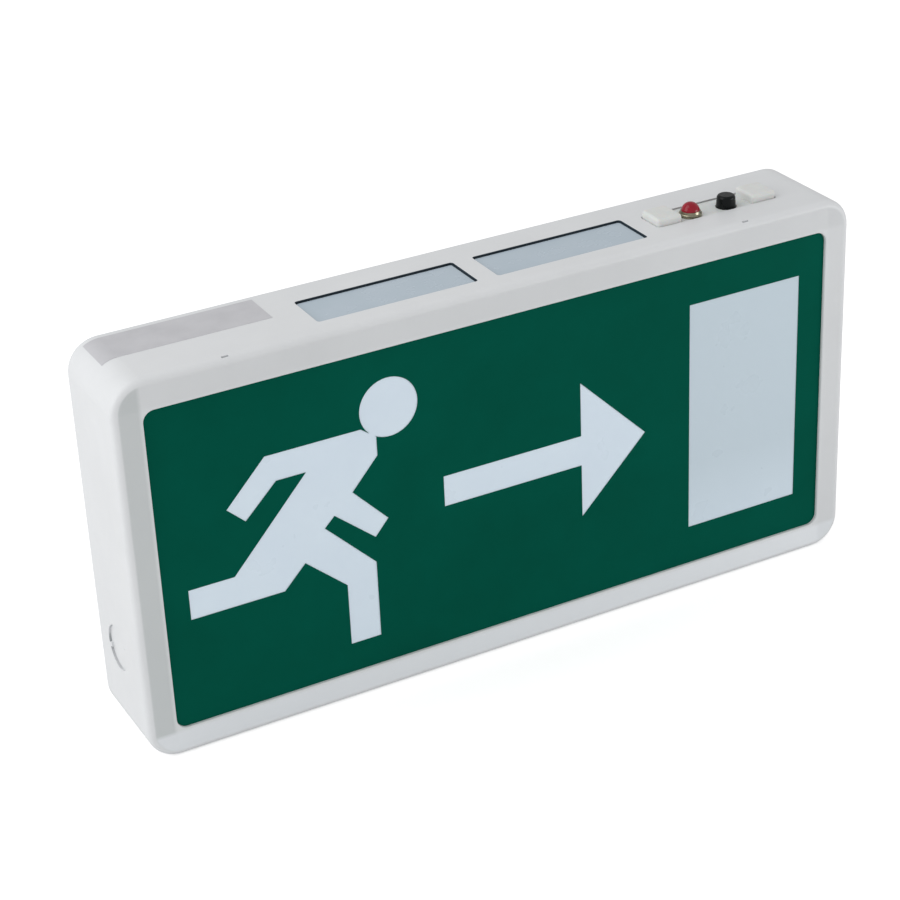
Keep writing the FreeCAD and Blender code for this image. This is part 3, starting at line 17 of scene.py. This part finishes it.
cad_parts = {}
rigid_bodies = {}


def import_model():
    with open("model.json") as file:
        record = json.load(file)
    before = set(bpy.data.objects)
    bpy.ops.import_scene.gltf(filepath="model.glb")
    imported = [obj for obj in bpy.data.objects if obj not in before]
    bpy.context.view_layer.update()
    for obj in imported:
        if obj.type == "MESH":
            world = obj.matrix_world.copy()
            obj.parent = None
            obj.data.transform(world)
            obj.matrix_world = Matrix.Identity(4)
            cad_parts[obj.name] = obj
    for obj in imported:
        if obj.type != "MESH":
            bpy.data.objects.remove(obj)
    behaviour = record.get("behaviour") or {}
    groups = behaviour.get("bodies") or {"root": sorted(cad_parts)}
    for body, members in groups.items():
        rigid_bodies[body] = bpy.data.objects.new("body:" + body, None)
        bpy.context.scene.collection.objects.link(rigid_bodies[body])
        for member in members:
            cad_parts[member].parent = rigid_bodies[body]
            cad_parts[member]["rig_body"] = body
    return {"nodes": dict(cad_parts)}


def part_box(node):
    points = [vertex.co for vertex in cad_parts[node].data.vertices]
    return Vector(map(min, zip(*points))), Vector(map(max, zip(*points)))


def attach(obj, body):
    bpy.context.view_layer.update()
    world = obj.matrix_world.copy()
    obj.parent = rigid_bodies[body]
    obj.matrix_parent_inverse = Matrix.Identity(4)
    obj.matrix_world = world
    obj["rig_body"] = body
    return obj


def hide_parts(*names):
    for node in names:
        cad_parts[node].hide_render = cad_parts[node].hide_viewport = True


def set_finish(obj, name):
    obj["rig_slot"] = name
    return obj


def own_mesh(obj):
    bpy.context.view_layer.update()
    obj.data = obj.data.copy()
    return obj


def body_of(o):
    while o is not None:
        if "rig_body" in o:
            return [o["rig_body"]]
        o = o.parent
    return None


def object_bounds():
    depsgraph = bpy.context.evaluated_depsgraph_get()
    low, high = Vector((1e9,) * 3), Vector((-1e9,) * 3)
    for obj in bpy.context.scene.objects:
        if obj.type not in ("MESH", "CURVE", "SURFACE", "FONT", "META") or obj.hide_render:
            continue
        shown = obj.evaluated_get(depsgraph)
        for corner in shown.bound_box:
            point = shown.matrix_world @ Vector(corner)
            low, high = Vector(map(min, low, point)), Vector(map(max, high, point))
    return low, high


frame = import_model()
cad_box = [list(corner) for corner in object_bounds()]
low, high = (Vector(corner) for corner in cad_box)
centre = (low + high) / 2
MM = 0.001
print("nodes:", len(frame["nodes"]), "box in mm:", [round(side / MM, 1) for side in high - low])

# %% [markdown]
# ## Colours and nodes
#
# Colours are written as sRGB hex values, the way a colour picker shows them, and one function turns
# them into the linear values that the renderer works with. A second small function adds a node, so
# that a material reads as a short list of its nodes. The alternative is one helper for each kind of
# node, which hides what each material is made of. Most pieces need no more than a colour and a
# roughness that drift a little and a fine grain, and one function makes such a finish.

# %% Colour and node helpers
def linear(code):
    """An sRGB hex colour as linear light: a line in the lower stretch, then a 2.4 power curve."""
    shares = np.array([int(code[start:start + 2], 16) for start in (0, 2, 4)]) / 255
    curve = np.where(shares <= 0.04045, shares / 12.92, ((shares + 0.055) / 1.055) ** 2.4)
    return (*curve, 1.0)


def add_node(tree, kind, inputs=None, **settings):
    """Add a node. inputs maps each socket to a value, or to the output socket that feeds it."""
    node = tree.nodes.new("ShaderNode" + kind)
    for name, value in settings.items():
        setattr(node, name, value)
    for socket, value in (inputs or {}).items():
        if isinstance(value, bpy.types.NodeSocket):
            tree.links.new(value, node.inputs[socket])
        else:
            node.inputs[socket].default_value = value
    return node


def per_mm(size):
    """The Scale of a noise whose grains are about this many millimetres across, in metres space."""
    return 1 / (size * MM)


def new_material(name, **sockets):
    """A material with its shader's sockets set. Returns it, its tree, its shader and its place."""
    material = bpy.data.materials.new(name)
    material.use_nodes = True
    tree = material.node_tree
    shader = tree.nodes["Principled BSDF"]
    for socket, value in sockets.items():
        shader.inputs[socket.replace("_", " ")].default_value = value
    place = add_node(tree, "TexCoord").outputs["Object"]
    return material, tree, shader, place


def drift(tree, shader, place, first, second, size, sharpness=0.25):
    """Let the base colour wander between two hex colours over patches of a size in mm."""
    noise = add_node(tree, "TexNoise", {"Vector": place, "Scale": per_mm(size), "Detail": 4.0,
                                        "Roughness": 0.6})
    ramp = add_node(tree, "ValToRGB", {"Fac": noise.outputs["Fac"]})
    ramp.color_ramp.elements[0].position = 0.5 - sharpness
    ramp.color_ramp.elements[1].position = 0.5 + sharpness
    ramp.color_ramp.elements[0].color = linear(first)
    ramp.color_ramp.elements[1].color = linear(second)
    tree.links.new(ramp.outputs["Color"], shader.inputs["Base Color"])
    return ramp.outputs["Color"]


def rough_patches(tree, shader, place, size, least, most):
    """Let the roughness wander between two values over patches of a size in mm."""
    noise = add_node(tree, "TexNoise", {"Vector": place, "Scale": per_mm(size), "Detail": 3.0})
    span = add_node(tree, "MapRange", {"Value": noise.outputs["Fac"], "From Min": 0.3,
                                       "From Max": 0.7, "To Min": least, "To Max": most})
    tree.links.new(span.outputs["Result"], shader.inputs["Roughness"])


def grain(tree, shader, place, size, depth):
    """A fine grain in the surface: bumps of a size and a depth in mm."""
    noise = add_node(tree, "TexNoise", {"Vector": place, "Scale": per_mm(size), "Detail": 2.0})
    bump = add_node(tree, "Bump", {"Height": noise.outputs["Fac"], "Distance": depth * MM,
                                   "Strength": 1.0})
    tree.links.new(bump.outputs["Normal"], shader.inputs["Normal"])
    return bump


def dress(material, slot, *nodes):
    """Give a material to carried-over nodes of one slot."""
    for node in nodes:
        piece = frame["nodes"][node]
        for place in piece.material_slots:
            place.material = material
        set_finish(piece, slot)


def finish(name, colours, roughness, bumps, wears, **sockets):
    """Make a material of a drifting colour and roughness and a grain, and dress nodes in it.

    colours, roughness and bumps are what drift, rough_patches and grain take, and wears maps each
    slot to its nodes.
    """
    material, tree, shader, place = new_material(name, **sockets)
    drift(tree, shader, place, *colours)
    rough_patches(tree, shader, place, *roughness)
    grain(tree, shader, place, *bumps)
    for slot, nodes in wears.items():
        dress(material, slot, *nodes)
    return material


print("white reads as", [round(value, 3) for value in linear("FFFFFF")])

# %% [markdown]
# ## White moulded ABS
#
# The casing is one moulding of white ABS. Its mould was spark-eroded, which leaves a fine, even
# grain that spreads reflections into a soft sheen. The grain is about 0.4 mm, too fine to show from
# a step away, so it is drawn about twice as coarse and very shallow.
#
# The frame round the legend is dished, which is too slight for the solids: its face leans in, so
# each of its four strips takes the light differently. A bump could lean the frame, but it would
# leave a seam where the lean stops, so the normal is turned directly. The cut edges of the two
# windows carry painted shade: they are coloured dark, as the shade that falls in the openings.
#
# The strips of the frame also differ in tone: painted shade greys the left one a little, and
# painted light makes the bottom one a little paler than the rest. The cause isn't known and may be
# the room, so this is only a colour.
# The knockout's step is darkened with painted shade in the same way.

# %% Masks and mixes
MIX_FIRST, MIX_SECOND, MIX_RESULT = 6, 7, 2     # the colour sockets of a mix node


def calc(tree, operation, *values):
    """One sum on numbers or sockets."""
    return add_node(tree, "Math", dict(enumerate(values)), operation=operation).outputs["Value"]


def product(tree, first, *others):
    """The product of numbers or sockets."""
    for other in others:
        first = calc(tree, "MULTIPLY", first, other)
    return first


def beyond(tree, value, edge, ramp):
    """Zero up to an edge and one beyond it, over a ramp."""
    return add_node(tree, "MapRange", {"Value": value, "From Min": edge,
                                       "From Max": edge + ramp}).outputs["Result"]


def outside(tree, position, middle, half, ramp):
    """Zero within a span and minus or plus one past its two ends."""
    offset = calc(tree, "SUBTRACT", position, middle)
    side = calc(tree, "SIGN", offset)
    return product(tree, side, beyond(tree, calc(tree, "ABSOLUTE", offset), half, ramp))


def tint(tree, share, base, other):
    """A base colour, taken towards another one by a share. Both are sockets or linear colours."""
    return add_node(tree, "Mix", {"Factor": share, MIX_FIRST: base, MIX_SECOND: other},
                    data_type="RGBA").outputs[MIX_RESULT]


print("masks:", [helper.__name__ for helper in (calc, product, beyond, outside, tint)])

# %% The casing's white and its dished frame
LEGEND_HALF = (0.1655, 0.0755)      # half the legend opening: along and up, in metres
LEGEND_MIDDLE = 0.0886              # the middle of the opening above the floor
STRIP_RAMP = 0.002                  # over which the lean of a strip sets in
FRAME_LEAN = 0.2                    # the tangent of the lean of the left and right strips
FRAME_LEAN_UP = 0.32                # the same of the top and bottom strips
FRONT_SHARE, FRONT_RAMP = 0.97, 0.03    # how straight a surface faces the front to be leant

abs_white, tree, shader, place = new_material("moulded_white_abs", IOR=1.54)
white = drift(tree, shader, place, "DEE0E2", "E4E6E8", 40)
rough_patches(tree, shader, place, 12, 0.38, 0.5)
where = add_node(tree, "SeparateXYZ", {"Vector": place})
surface = add_node(tree, "NewGeometry").outputs["Normal"]
facing = add_node(tree, "SeparateXYZ", {"Vector": surface})
flat_front = beyond(tree, product(tree, facing.outputs["Y"], -1.0), FRONT_SHARE, FRONT_RAMP)
sideways = outside(tree, where.outputs["X"], 0.0, LEGEND_HALF[0], STRIP_RAMP)
upwards = outside(tree, where.outputs["Z"], LEGEND_MIDDLE, LEGEND_HALF[1], STRIP_RAMP)
turn = add_node(tree, "CombineXYZ", {"X": product(tree, sideways, flat_front, -FRAME_LEAN),
                                     "Z": product(tree, upwards, flat_front, -FRAME_LEAN_UP)})
leant = add_node(tree, "VectorMath", {0: surface, 1: turn.outputs["Vector"]}, operation="ADD")
leant = add_node(tree, "VectorMath", {0: leant.outputs["Vector"]}, operation="NORMALIZE")
bump = grain(tree, shader, place, 0.8, 0.02)
tree.links.new(leant.outputs["Vector"], bump.inputs["Normal"])
print("the frame leans by", round(math.degrees(math.atan(FRAME_LEAN)), 1), "and",
      round(math.degrees(math.atan(FRAME_LEAN_UP)), 1), "degrees")

# %% Painted shade in the knockout's step, most of it in the lower tail
KNOCKOUT_PLACE = (0.0, 0.0031, 0.0438)
KNOCKOUT_RADIUS = 0.0103
KNOCKOUT_END = 0.177                # from the middle to just inside the left end's recess
EDGE_RAMP = 0.0001                  # over which the painted shade ends at an edge
STEP_SHADE_REACH = 0.0006                 # how far it reaches in from the step
STEP_SHADE_RAMP = 0.0004                  # over which it fades there
WALL_SHARE, WALL_RAMP = 0.2, 0.2    # how little a surface faces the end to count as the wall
TAIL_FROM, TAIL_RAMP = 0.008, 0.003     # how far to the rear and down the tail starts
STEP_SHADE_ON_WALL, STEP_SHADE_IN_TAIL = 0.15, 0.2      # how much of the colour the painted shade takes

step = add_node(tree, "VectorMath", {0: place, 1: KNOCKOUT_PLACE}, operation="SUBTRACT")
offset = add_node(tree, "SeparateXYZ", {"Vector": step.outputs["Vector"]}).outputs
rearwards, above = offset["Y"], offset["Z"]
from_middle = calc(tree, "SQRT", calc(tree, "ADD", product(tree, rearwards, rearwards),
                                      product(tree, above, above)))
at_end = beyond(tree, product(tree, where.outputs["X"], -1.0), KNOCKOUT_END, EDGE_RAMP)
past_step = beyond(tree, from_middle, KNOCKOUT_RADIUS + EDGE_RAMP, EDGE_RAMP)
on_step = product(tree, beyond(tree, from_middle, KNOCKOUT_RADIUS - STEP_SHADE_REACH, STEP_SHADE_RAMP),
                  calc(tree, "SUBTRACT", 1.0, past_step))
endwards = product(tree, facing.outputs["X"], facing.outputs["X"])
on_wall = calc(tree, "SUBTRACT", 1.0, beyond(tree, endwards, WALL_SHARE, WALL_RAMP))
in_tail = beyond(tree, calc(tree, "SUBTRACT", rearwards, above), TAIL_FROM, TAIL_RAMP)
# Painted shade: the knockout's step is coloured darker where shade falls in it, most in the lower
# tail.
painted_step_shade = product(tree, on_step, at_end,
                calc(tree, "ADD", product(tree, on_wall, STEP_SHADE_ON_WALL),
                     product(tree, in_tail, STEP_SHADE_IN_TAIL)))
# The step named here carries painted shade.
print("dust on a step of", KNOCKOUT_RADIUS / MM, "mm")

# %% Painted shade on the window edges, and the casing's colour
WINDOW_SPAN = ((-0.0026, 0.0801), (-0.0027, 0.012), (0.1771, 0.0013))    # middle and half, x y z
WINDOW_SHADE_RAMP = 0.00005                # over which the painted shade on the window edges ends
LEFT_PAINTED_SHADE = 0.6                  # how much of the colour the painted shade on the left strip takes

# Painted shade: the walls of the two window openings are coloured dark, as the shade in them.
outside_window_shade = 0.0
for letter, (middle, half) in zip("XYZ", WINDOW_SPAN):
    past_end = outside(tree, where.outputs[letter], middle, half, WINDOW_SHADE_RAMP)
    outside_window_shade = calc(tree, "MAXIMUM", outside_window_shade, calc(tree, "ABSOLUTE", past_end))
# Painted shade greys the left strip, and painted light makes the bottom strip paler.
left_strip_painted_shade = product(tree, calc(tree, "MAXIMUM", product(tree, sideways, -LEFT_PAINTED_SHADE), 0.0),
                     flat_front)
bottom_strip_painted_light = product(tree, calc(tree, "MAXIMUM", product(tree, upwards, -1.0), 0.0), flat_front)
colour = tint(tree, left_strip_painted_shade, white, linear("BFC5C5"))
colour = tint(tree, bottom_strip_painted_light, colour, linear("EBEFF3"))
colour = tint(tree, painted_step_shade, colour, linear("5A5F63"))
colour = tint(tree, outside_window_shade, linear("2C3A44"), colour)
tree.links.new(colour, shader.inputs["Base Color"])
dress(abs_white, "casing_white", "cover_shell")
print("casing:", abs_white.name, "with", len(tree.nodes), "nodes")

# %% [markdown]
# ## The other white mouldings
#
# The tray is a duller grade of the same plastic. The insert is natural nylon, which lets a little
# light in, and the lampholders and the terminal block are smoother polycarbonate.

# %% The other white mouldings
tray_abs = finish("moulded_tray_abs", ("D9DBDB", "E0E2E2", 55), (15, 0.45, 0.58), (0.9, 0.025),
                  {"tray_white": ["gear_tray"]}, IOR=1.54)
nylon = finish("natural_nylon", ("DCDCDA", "E3E3E1", 6), (4, 0.35, 0.5), (0.5, 0.01),
               {"insert_white": ["control_insert"]}, IOR=1.53, Subsurface_Weight=0.1)
polycarbonate = finish("moulded_white_polycarbonate", ("E0E0DC", "E6E6E3", 9), (6, 0.28, 0.4),
                       (0.6, 0.01), {"holder_white": ["lampholder_left", "lampholder_right"],
                                     "terminal_white": ["terminal_block"]}, IOR=1.58)
print("white plastics:", tray_abs.name, nylon.name, polycarbonate.name)

# %% [markdown]
# ## The legend
#
# The green is a film laid on an opal sheet, and the figure, the arrow and the door are cut out of
# it, so that the opal shows white through them. Unlit, the film is a deep, slightly blue green. Its
# shine is held far below that of a real film, because the white room would wash the green out. The
# opal carries painted shade at the door's end, which makes it a darker grey there. That too is only
# a colour, and its cause isn't known.

# %% Green film and opal sheet
DOOR_FROM, DOOR_RAMP = 0.07, 0.025      # from the middle to the right, where the painted shade on the sheet sets in
FOOT_FROM, FOOT_RAMP = 0.02, 0.045      # from the floor up, where it reaches its greyest
FOOT_SHARE = 0.2                        # how much of that is left at the foot of the door

film = finish("tinted_polyester_film", ("004F3F", "005747", 45, 0.3), (20, 0.42, 0.55),
              (1.2, 0.004), {"legend_green": ["legend_film"]}, IOR=1.6, Specular_IOR_Level=0.015)

opal, tree, shader, place = new_material("opal_acrylic_sheet", IOR=1.49)
even = drift(tree, shader, place, "E0EEFB", "E5F3FE", 30)
where = add_node(tree, "SeparateXYZ", {"Vector": place})
# Painted shade: the sheet is coloured darker towards the door's end, most of all up the door.
door_end = beyond(tree, where.outputs["X"], DOOR_FROM, DOOR_RAMP)
up_door = product(tree, 1.0 - FOOT_SHARE, beyond(tree, where.outputs["Z"], FOOT_FROM, FOOT_RAMP))
painted_door_shade = product(tree, door_end, calc(tree, "ADD", FOOT_SHARE, up_door))
tree.links.new(tint(tree, painted_door_shade, even, linear("CDDCE6")), shader.inputs["Base Color"])
rough_patches(tree, shader, place, 18, 0.26, 0.36)
grain(tree, shader, place, 1.0, 0.005)
dress(opal, "opal_panel", "diffuser_panel")

pane = finish("opal_acrylic_pane", ("B3C2CD", "BBC8D3", 18), (9, 0.2, 0.3), (0.8, 0.004),
              {"opal_pane": ["window_pane_left", "window_pane_right"]}, IOR=1.49)
print("legend:", film.name, opal.name, pane.name)

# %% [markdown]
# ## Indicator, button and label
#
# The indicator is tinted epoxy in a plated ring, and the button beside it is glossy black ABS. The
# label is satin silver film, and it is blank.

# %% Indicator, button and label
epoxy = finish("tinted_red_epoxy", ("8C0A22", "9E1228", 3), (2, 0.12, 0.2), (0.6, 0.002),
               {"indicator_red": ["led_lens"]}, IOR=1.5, Specular_IOR_Level=0.3,
               Coat_Weight=0.15, Coat_Roughness=0.12)
plate = finish("plated_brass_ring", ("8A8670", "A7A38F", 2), (1.5, 0.2, 0.35), (0.4, 0.003),
               {"bezel_metal": ["led_bezel"]}, Metallic=1.0)
black_abs = finish("moulded_black_abs", ("060A0B", "0B1011", 4), (3, 0.22, 0.34), (0.5, 0.004),
                   {"button_black": ["test_button"], "switch_black": ["led_spacer", "test_switch"]},
                   IOR=1.5, Specular_IOR_Level=0.2)
label = finish("metallised_polyester_label", ("CBCBCF", "D6D6DA", 12), (8, 0.4, 0.5),
               (0.9, 0.004), {"label_silver": ["rating_label"]}, Metallic=0.35)
print("small parts:", epoxy.name, plate.name, black_abs.name, label.name)

# %% [markdown]
# ## What the cover hides
#
# The cover slides off, and then the tray shows what the light runs on.

# %% Metals
zinc = finish("zinc_plated_steel", ("B5B5B0", "C6C6C2", 3), (2, 0.25, 0.4), (0.4, 0.006),
              {"screw_zinc": ["board_screws", "reflector_screws", "holder_screws", "clip_screws",
                              "gear_screws"]}, Metallic=1.0)
spring_steel = finish("drawn_spring_steel", ("A2A3A4", "B4B5B6", 4), (3, 0.22, 0.34),
                      (0.3, 0.004), {"spring_steel": ["button_spring"],
                                     "clip_steel": ["battery_clip_left", "battery_clip_right"]},
                      Metallic=1.0)
enamel = finish("white_stoved_enamel", ("E6E7E7", "ECEDED", 35), (10, 0.3, 0.4), (1.5, 0.01),
                {"reflector_white": ["reflector"]}, IOR=1.5, Coat_Weight=0.3, Coat_Roughness=0.15)
cap_metal = finish("drawn_aluminium_cap", ("C8C8CA", "D6D6D8", 5), (3, 0.3, 0.42), (0.5, 0.004),
                   {"lamp_aluminium": ["lamp_cap_left", "lamp_cap_right"],
                    "sink_aluminium": ["heat_sink"]}, Metallic=1.0)
brass = finish("turned_brass", ("BF9C50", "CDAA60", 2), (2, 0.22, 0.32), (0.3, 0.004),
               {"terminal_brass": ["terminal_screws"]}, Metallic=1.0)
print("metals:", zinc.name, spring_steel.name, enamel.name, cap_metal.name, brass.name)

# %% Glass, rubber and electrical parts
phosphor = finish("phosphor_coated_glass", ("ECECEA", "F1F1EF", 15), (8, 0.3, 0.4), (0.6, 0.002),
                  {"lamp_glass": ["lamp_tube"]}, IOR=1.52, Coat_Weight=0.6, Coat_Roughness=0.03)
rubber = finish("black_rubber", ("161616", "1E1E1E", 5), (4, 0.6, 0.75), (0.6, 0.01),
                {"grommet_rubber": ["cable_grommet"]}, IOR=1.52)
sleeve = finish("shrunk_pvc_sleeve", ("1C3C78", "22458A", 20), (8, 0.2, 0.32), (2.5, 0.03),
                {"battery_sleeve": ["battery_pack"]}, IOR=1.53, Coat_Weight=0.2,
                Coat_Roughness=0.1)
resist = finish("green_solder_resist", ("1A4A2C", "205434", 8), (5, 0.25, 0.35), (0.7, 0.005),
                {"board_green": ["control_board", "gear_board"]}, IOR=1.5)
ferrite = finish("ground_ferrite", ("2C2C2E", "38383A", 3), (3, 0.45, 0.6), (0.4, 0.01),
                 {"core_ferrite": ["transformer_core"]}, IOR=1.6)
tape = finish("yellow_polyester_tape", ("C8A93A", "D2B548", 6), (4, 0.25, 0.35), (1.5, 0.02),
              {"coil_tape": ["transformer_coil"]}, IOR=1.6)
black_sleeve = finish("capacitor_sleeve_pvc", ("14181E", "1B2028", 6), (4, 0.2, 0.3),
                      (1.5, 0.01), {"capacitor_sleeve": ["capacitors"]}, IOR=1.53)
print("electrical:", [item.name for item in (phosphor, rubber, sleeve, resist, ferrite, tape,
                                             black_sleeve)])
undressed = [name for name, piece in frame["nodes"].items() if "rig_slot" not in piece]
print("nodes without a finish:", undressed)

# %% [markdown]
# ## The spring under the button
#
# The imported spring is one rigid solid, so it would stand up through the button when the button is
# pushed. A coil of the same form takes its place, on the same body as the imported spring.

# %% The coil's surface
SPRING_WIRE = 0.0006         # diameter of the wire, in metres
SPRING_TURNS = 3.5
WIRE_SIDES = 12              # points round the wire
TURN_STEPS = 48              # rings of them in one turn


def coil_points(radius, height, turns, wire):
    """A tube of radius w along the helix C(t) = (r cos t, r sin t, p t) with p = height / (2 pi n).

    With the outward unit vector e = (cos t, sin t, 0), q = sqrt(r^2 + p^2) and the binormal
    b = (p sin t, -p cos t, r) / q, the surface is S(t, v) = C(t) + w (cos v e + sin v b), for
    0 <= t <= 2 pi n.
    """
    rise = height / (2 * math.pi * turns)
    length = math.hypot(radius, rise)
    t = np.linspace(0, 2 * math.pi * turns, int(TURN_STEPS * turns) + 1)[:, None]
    v = np.linspace(0, 2 * math.pi, WIRE_SIDES, endpoint=False)[None, :]
    x = radius * np.cos(t) + wire * (np.cos(v) * np.cos(t) + np.sin(v) * rise * np.sin(t) / length)
    y = radius * np.sin(t) + wire * (np.cos(v) * np.sin(t) - np.sin(v) * rise * np.cos(t) / length)
    z = rise * t + wire * np.sin(v) * radius / length
    return np.stack([x, y, z], axis=-1)


def tube_faces(rings, sides):
    """The quads between rings of points, and the two flat ends."""
    faces = [(row * sides + side, row * sides + (side + 1) % sides,
              (row + 1) * sides + (side + 1) % sides, (row + 1) * sides + side)
             for row in range(rings - 1) for side in range(sides)]
    return faces + [tuple(reversed(range(sides))), tuple(range((rings - 1) * sides, rings * sides))]


spring_low, spring_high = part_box("button_spring")
spring_length = spring_high.z - spring_low.z
coil_rings = coil_points((spring_high.x - spring_low.x) / 2 - SPRING_WIRE / 2,
                         spring_length - SPRING_WIRE, SPRING_TURNS, SPRING_WIRE / 2)
print("spring: length in mm", round(spring_length / MM, 2), "rings", len(coil_rings))

# %% Button spring
foot = np.array([(spring_low.x + spring_high.x) / 2, (spring_low.y + spring_high.y) / 2,
                 spring_low.z + SPRING_WIRE / 2])
faces = tube_faces(len(coil_rings), WIRE_SIDES)
coil_mesh = bpy.data.meshes.new("button_coil")
coil_mesh.from_pydata((coil_rings + foot).reshape(-1, 3).tolist(), [], faces)
coil_mesh.polygons.foreach_set("use_smooth", [True] * len(faces))
coil_mesh.materials.append(spring_steel)
coil = bpy.data.objects.new("button_coil", coil_mesh)
bpy.context.scene.collection.objects.link(coil)
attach(coil, body_of(frame["nodes"]["button_spring"])[0])
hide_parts("button_spring")
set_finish(coil, "spring_steel")
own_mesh(coil)

# %% [markdown]
# ## Floor, light and camera
#
# The light stands on a white floor that runs on without an edge, and the floor glows a little
# towards the camera so that it stays white. The world gives an even, soft light: the camera sees it
# as pure white, and it lights the object at a lower level, so that the whites keep their tones. The
# broad lamp on the left makes the left end the lightest face, one above lifts the top, and a low one
# in front on the right keeps the right strip of the frame from sinking.

# %% Floor
FLOOR_SPAN = 8.0
FLOOR_GLOW = 0.5


def seen_directly(tree):
    """One for a ray that comes from the camera, straight or through a clear piece."""
    rays = add_node(tree, "LightPath").outputs
    return calc(tree, "MAXIMUM", rays["Is Camera Ray"], rays["Is Transmission Ray"])


floor_mesh = bpy.data.meshes.new("floor")
corners = [(side_x * FLOOR_SPAN, side_y * FLOOR_SPAN, low.z) for side_x, side_y in
           ((-1, -1), (1, -1), (1, 1), (-1, 1))]
floor_mesh.from_pydata(corners, [], [(0, 1, 2, 3)])
floor = bpy.data.objects.new("floor", floor_mesh)
bpy.context.scene.collection.objects.link(floor)
paper = bpy.data.materials.new("white_paper_floor")
paper.use_nodes = True
tree = paper.node_tree
tree.nodes.remove(tree.nodes["Principled BSDF"])
glow = add_node(tree, "Emission", {"Color": linear("FFFFFF"), "Strength": FLOOR_GLOW})
matt = add_node(tree, "BsdfDiffuse", {"Color": linear("F2F2F2")})
both = add_node(tree, "AddShader", {0: matt.outputs["BSDF"], 1: glow.outputs["Emission"]})
shown = add_node(tree, "MixShader", {0: seen_directly(tree), 1: matt.outputs["BSDF"],
                                     2: both.outputs["Shader"]})
tree.links.new(shown.outputs["Shader"], tree.nodes["Material Output"].inputs["Surface"])
floor.data.materials.append(paper)
print("floor:", 2 * FLOOR_SPAN, "m across")

# %% World and lamps
WORLD_LEVEL = 0.6
world = bpy.data.worlds.new("studio")
bpy.context.scene.world = world
world.use_nodes = True
tree = world.node_tree
level = add_node(tree, "MapRange", {"Value": seen_directly(tree), "To Min": WORLD_LEVEL,
                                    "To Max": 1.0})
tree.links.new(level.outputs["Result"], tree.nodes["Background"].inputs["Strength"])
tree.nodes["Background"].inputs["Color"].default_value = linear("FFFFFF")


def add_lamp(name, place, size, power):
    """A square area lamp that faces the middle of the object."""
    data = bpy.data.lights.new(name, "AREA")
    data.size = size
    data.energy = power
    lamp = bpy.data.objects.new(name, data)
    lamp.location = place
    lamp.rotation_euler = (centre - lamp.location).to_track_quat("-Z", "Y").to_euler()
    bpy.context.scene.collection.objects.link(lamp)


add_lamp("left_softbox", centre + Vector((-1.6, 0.1, 0.6)), 1.2, 8)
add_lamp("top_softbox", centre + Vector((-0.7, 0.2, 1.2)), 0.9, 3.8)
add_lamp("right_softbox", centre + Vector((0.9, -0.8, -0.02)), 0.6, 4.3)

# %% Camera
SENSOR_WIDTH = 36.0          # mm
FOCAL_LENGTH = 95.51         # mm
CAMERA_TURN = math.radians(-27.139)
CAMERA_TILT = math.radians(62.211)
CAMERA_ROLL = math.radians(-2.671)
CAMERA_DISTANCE = 1.0634     # metres, from the point it aims at
CAMERA_AIM = Vector((-0.01363, 0.00692, 0.0899))
camera_data = bpy.data.cameras.new("camera")
camera_data.lens = FOCAL_LENGTH
camera_data.sensor_width = SENSOR_WIDTH
camera = bpy.data.objects.new("camera", camera_data)
turning = (Matrix.Rotation(CAMERA_TURN, 4, "Z") @ Matrix.Rotation(CAMERA_TILT, 4, "X")
           @ Matrix.Rotation(CAMERA_ROLL, 4, "Z"))
backwards = turning @ Vector((0, 0, 1))
camera.matrix_world = Matrix.Translation(CAMERA_AIM + backwards * CAMERA_DISTANCE) @ turning
bpy.context.scene.collection.objects.link(camera)
bpy.context.scene.camera = camera
bpy.context.scene.view_settings.view_transform = "Standard"
print("camera at", [round(value, 3) for value in camera.location])
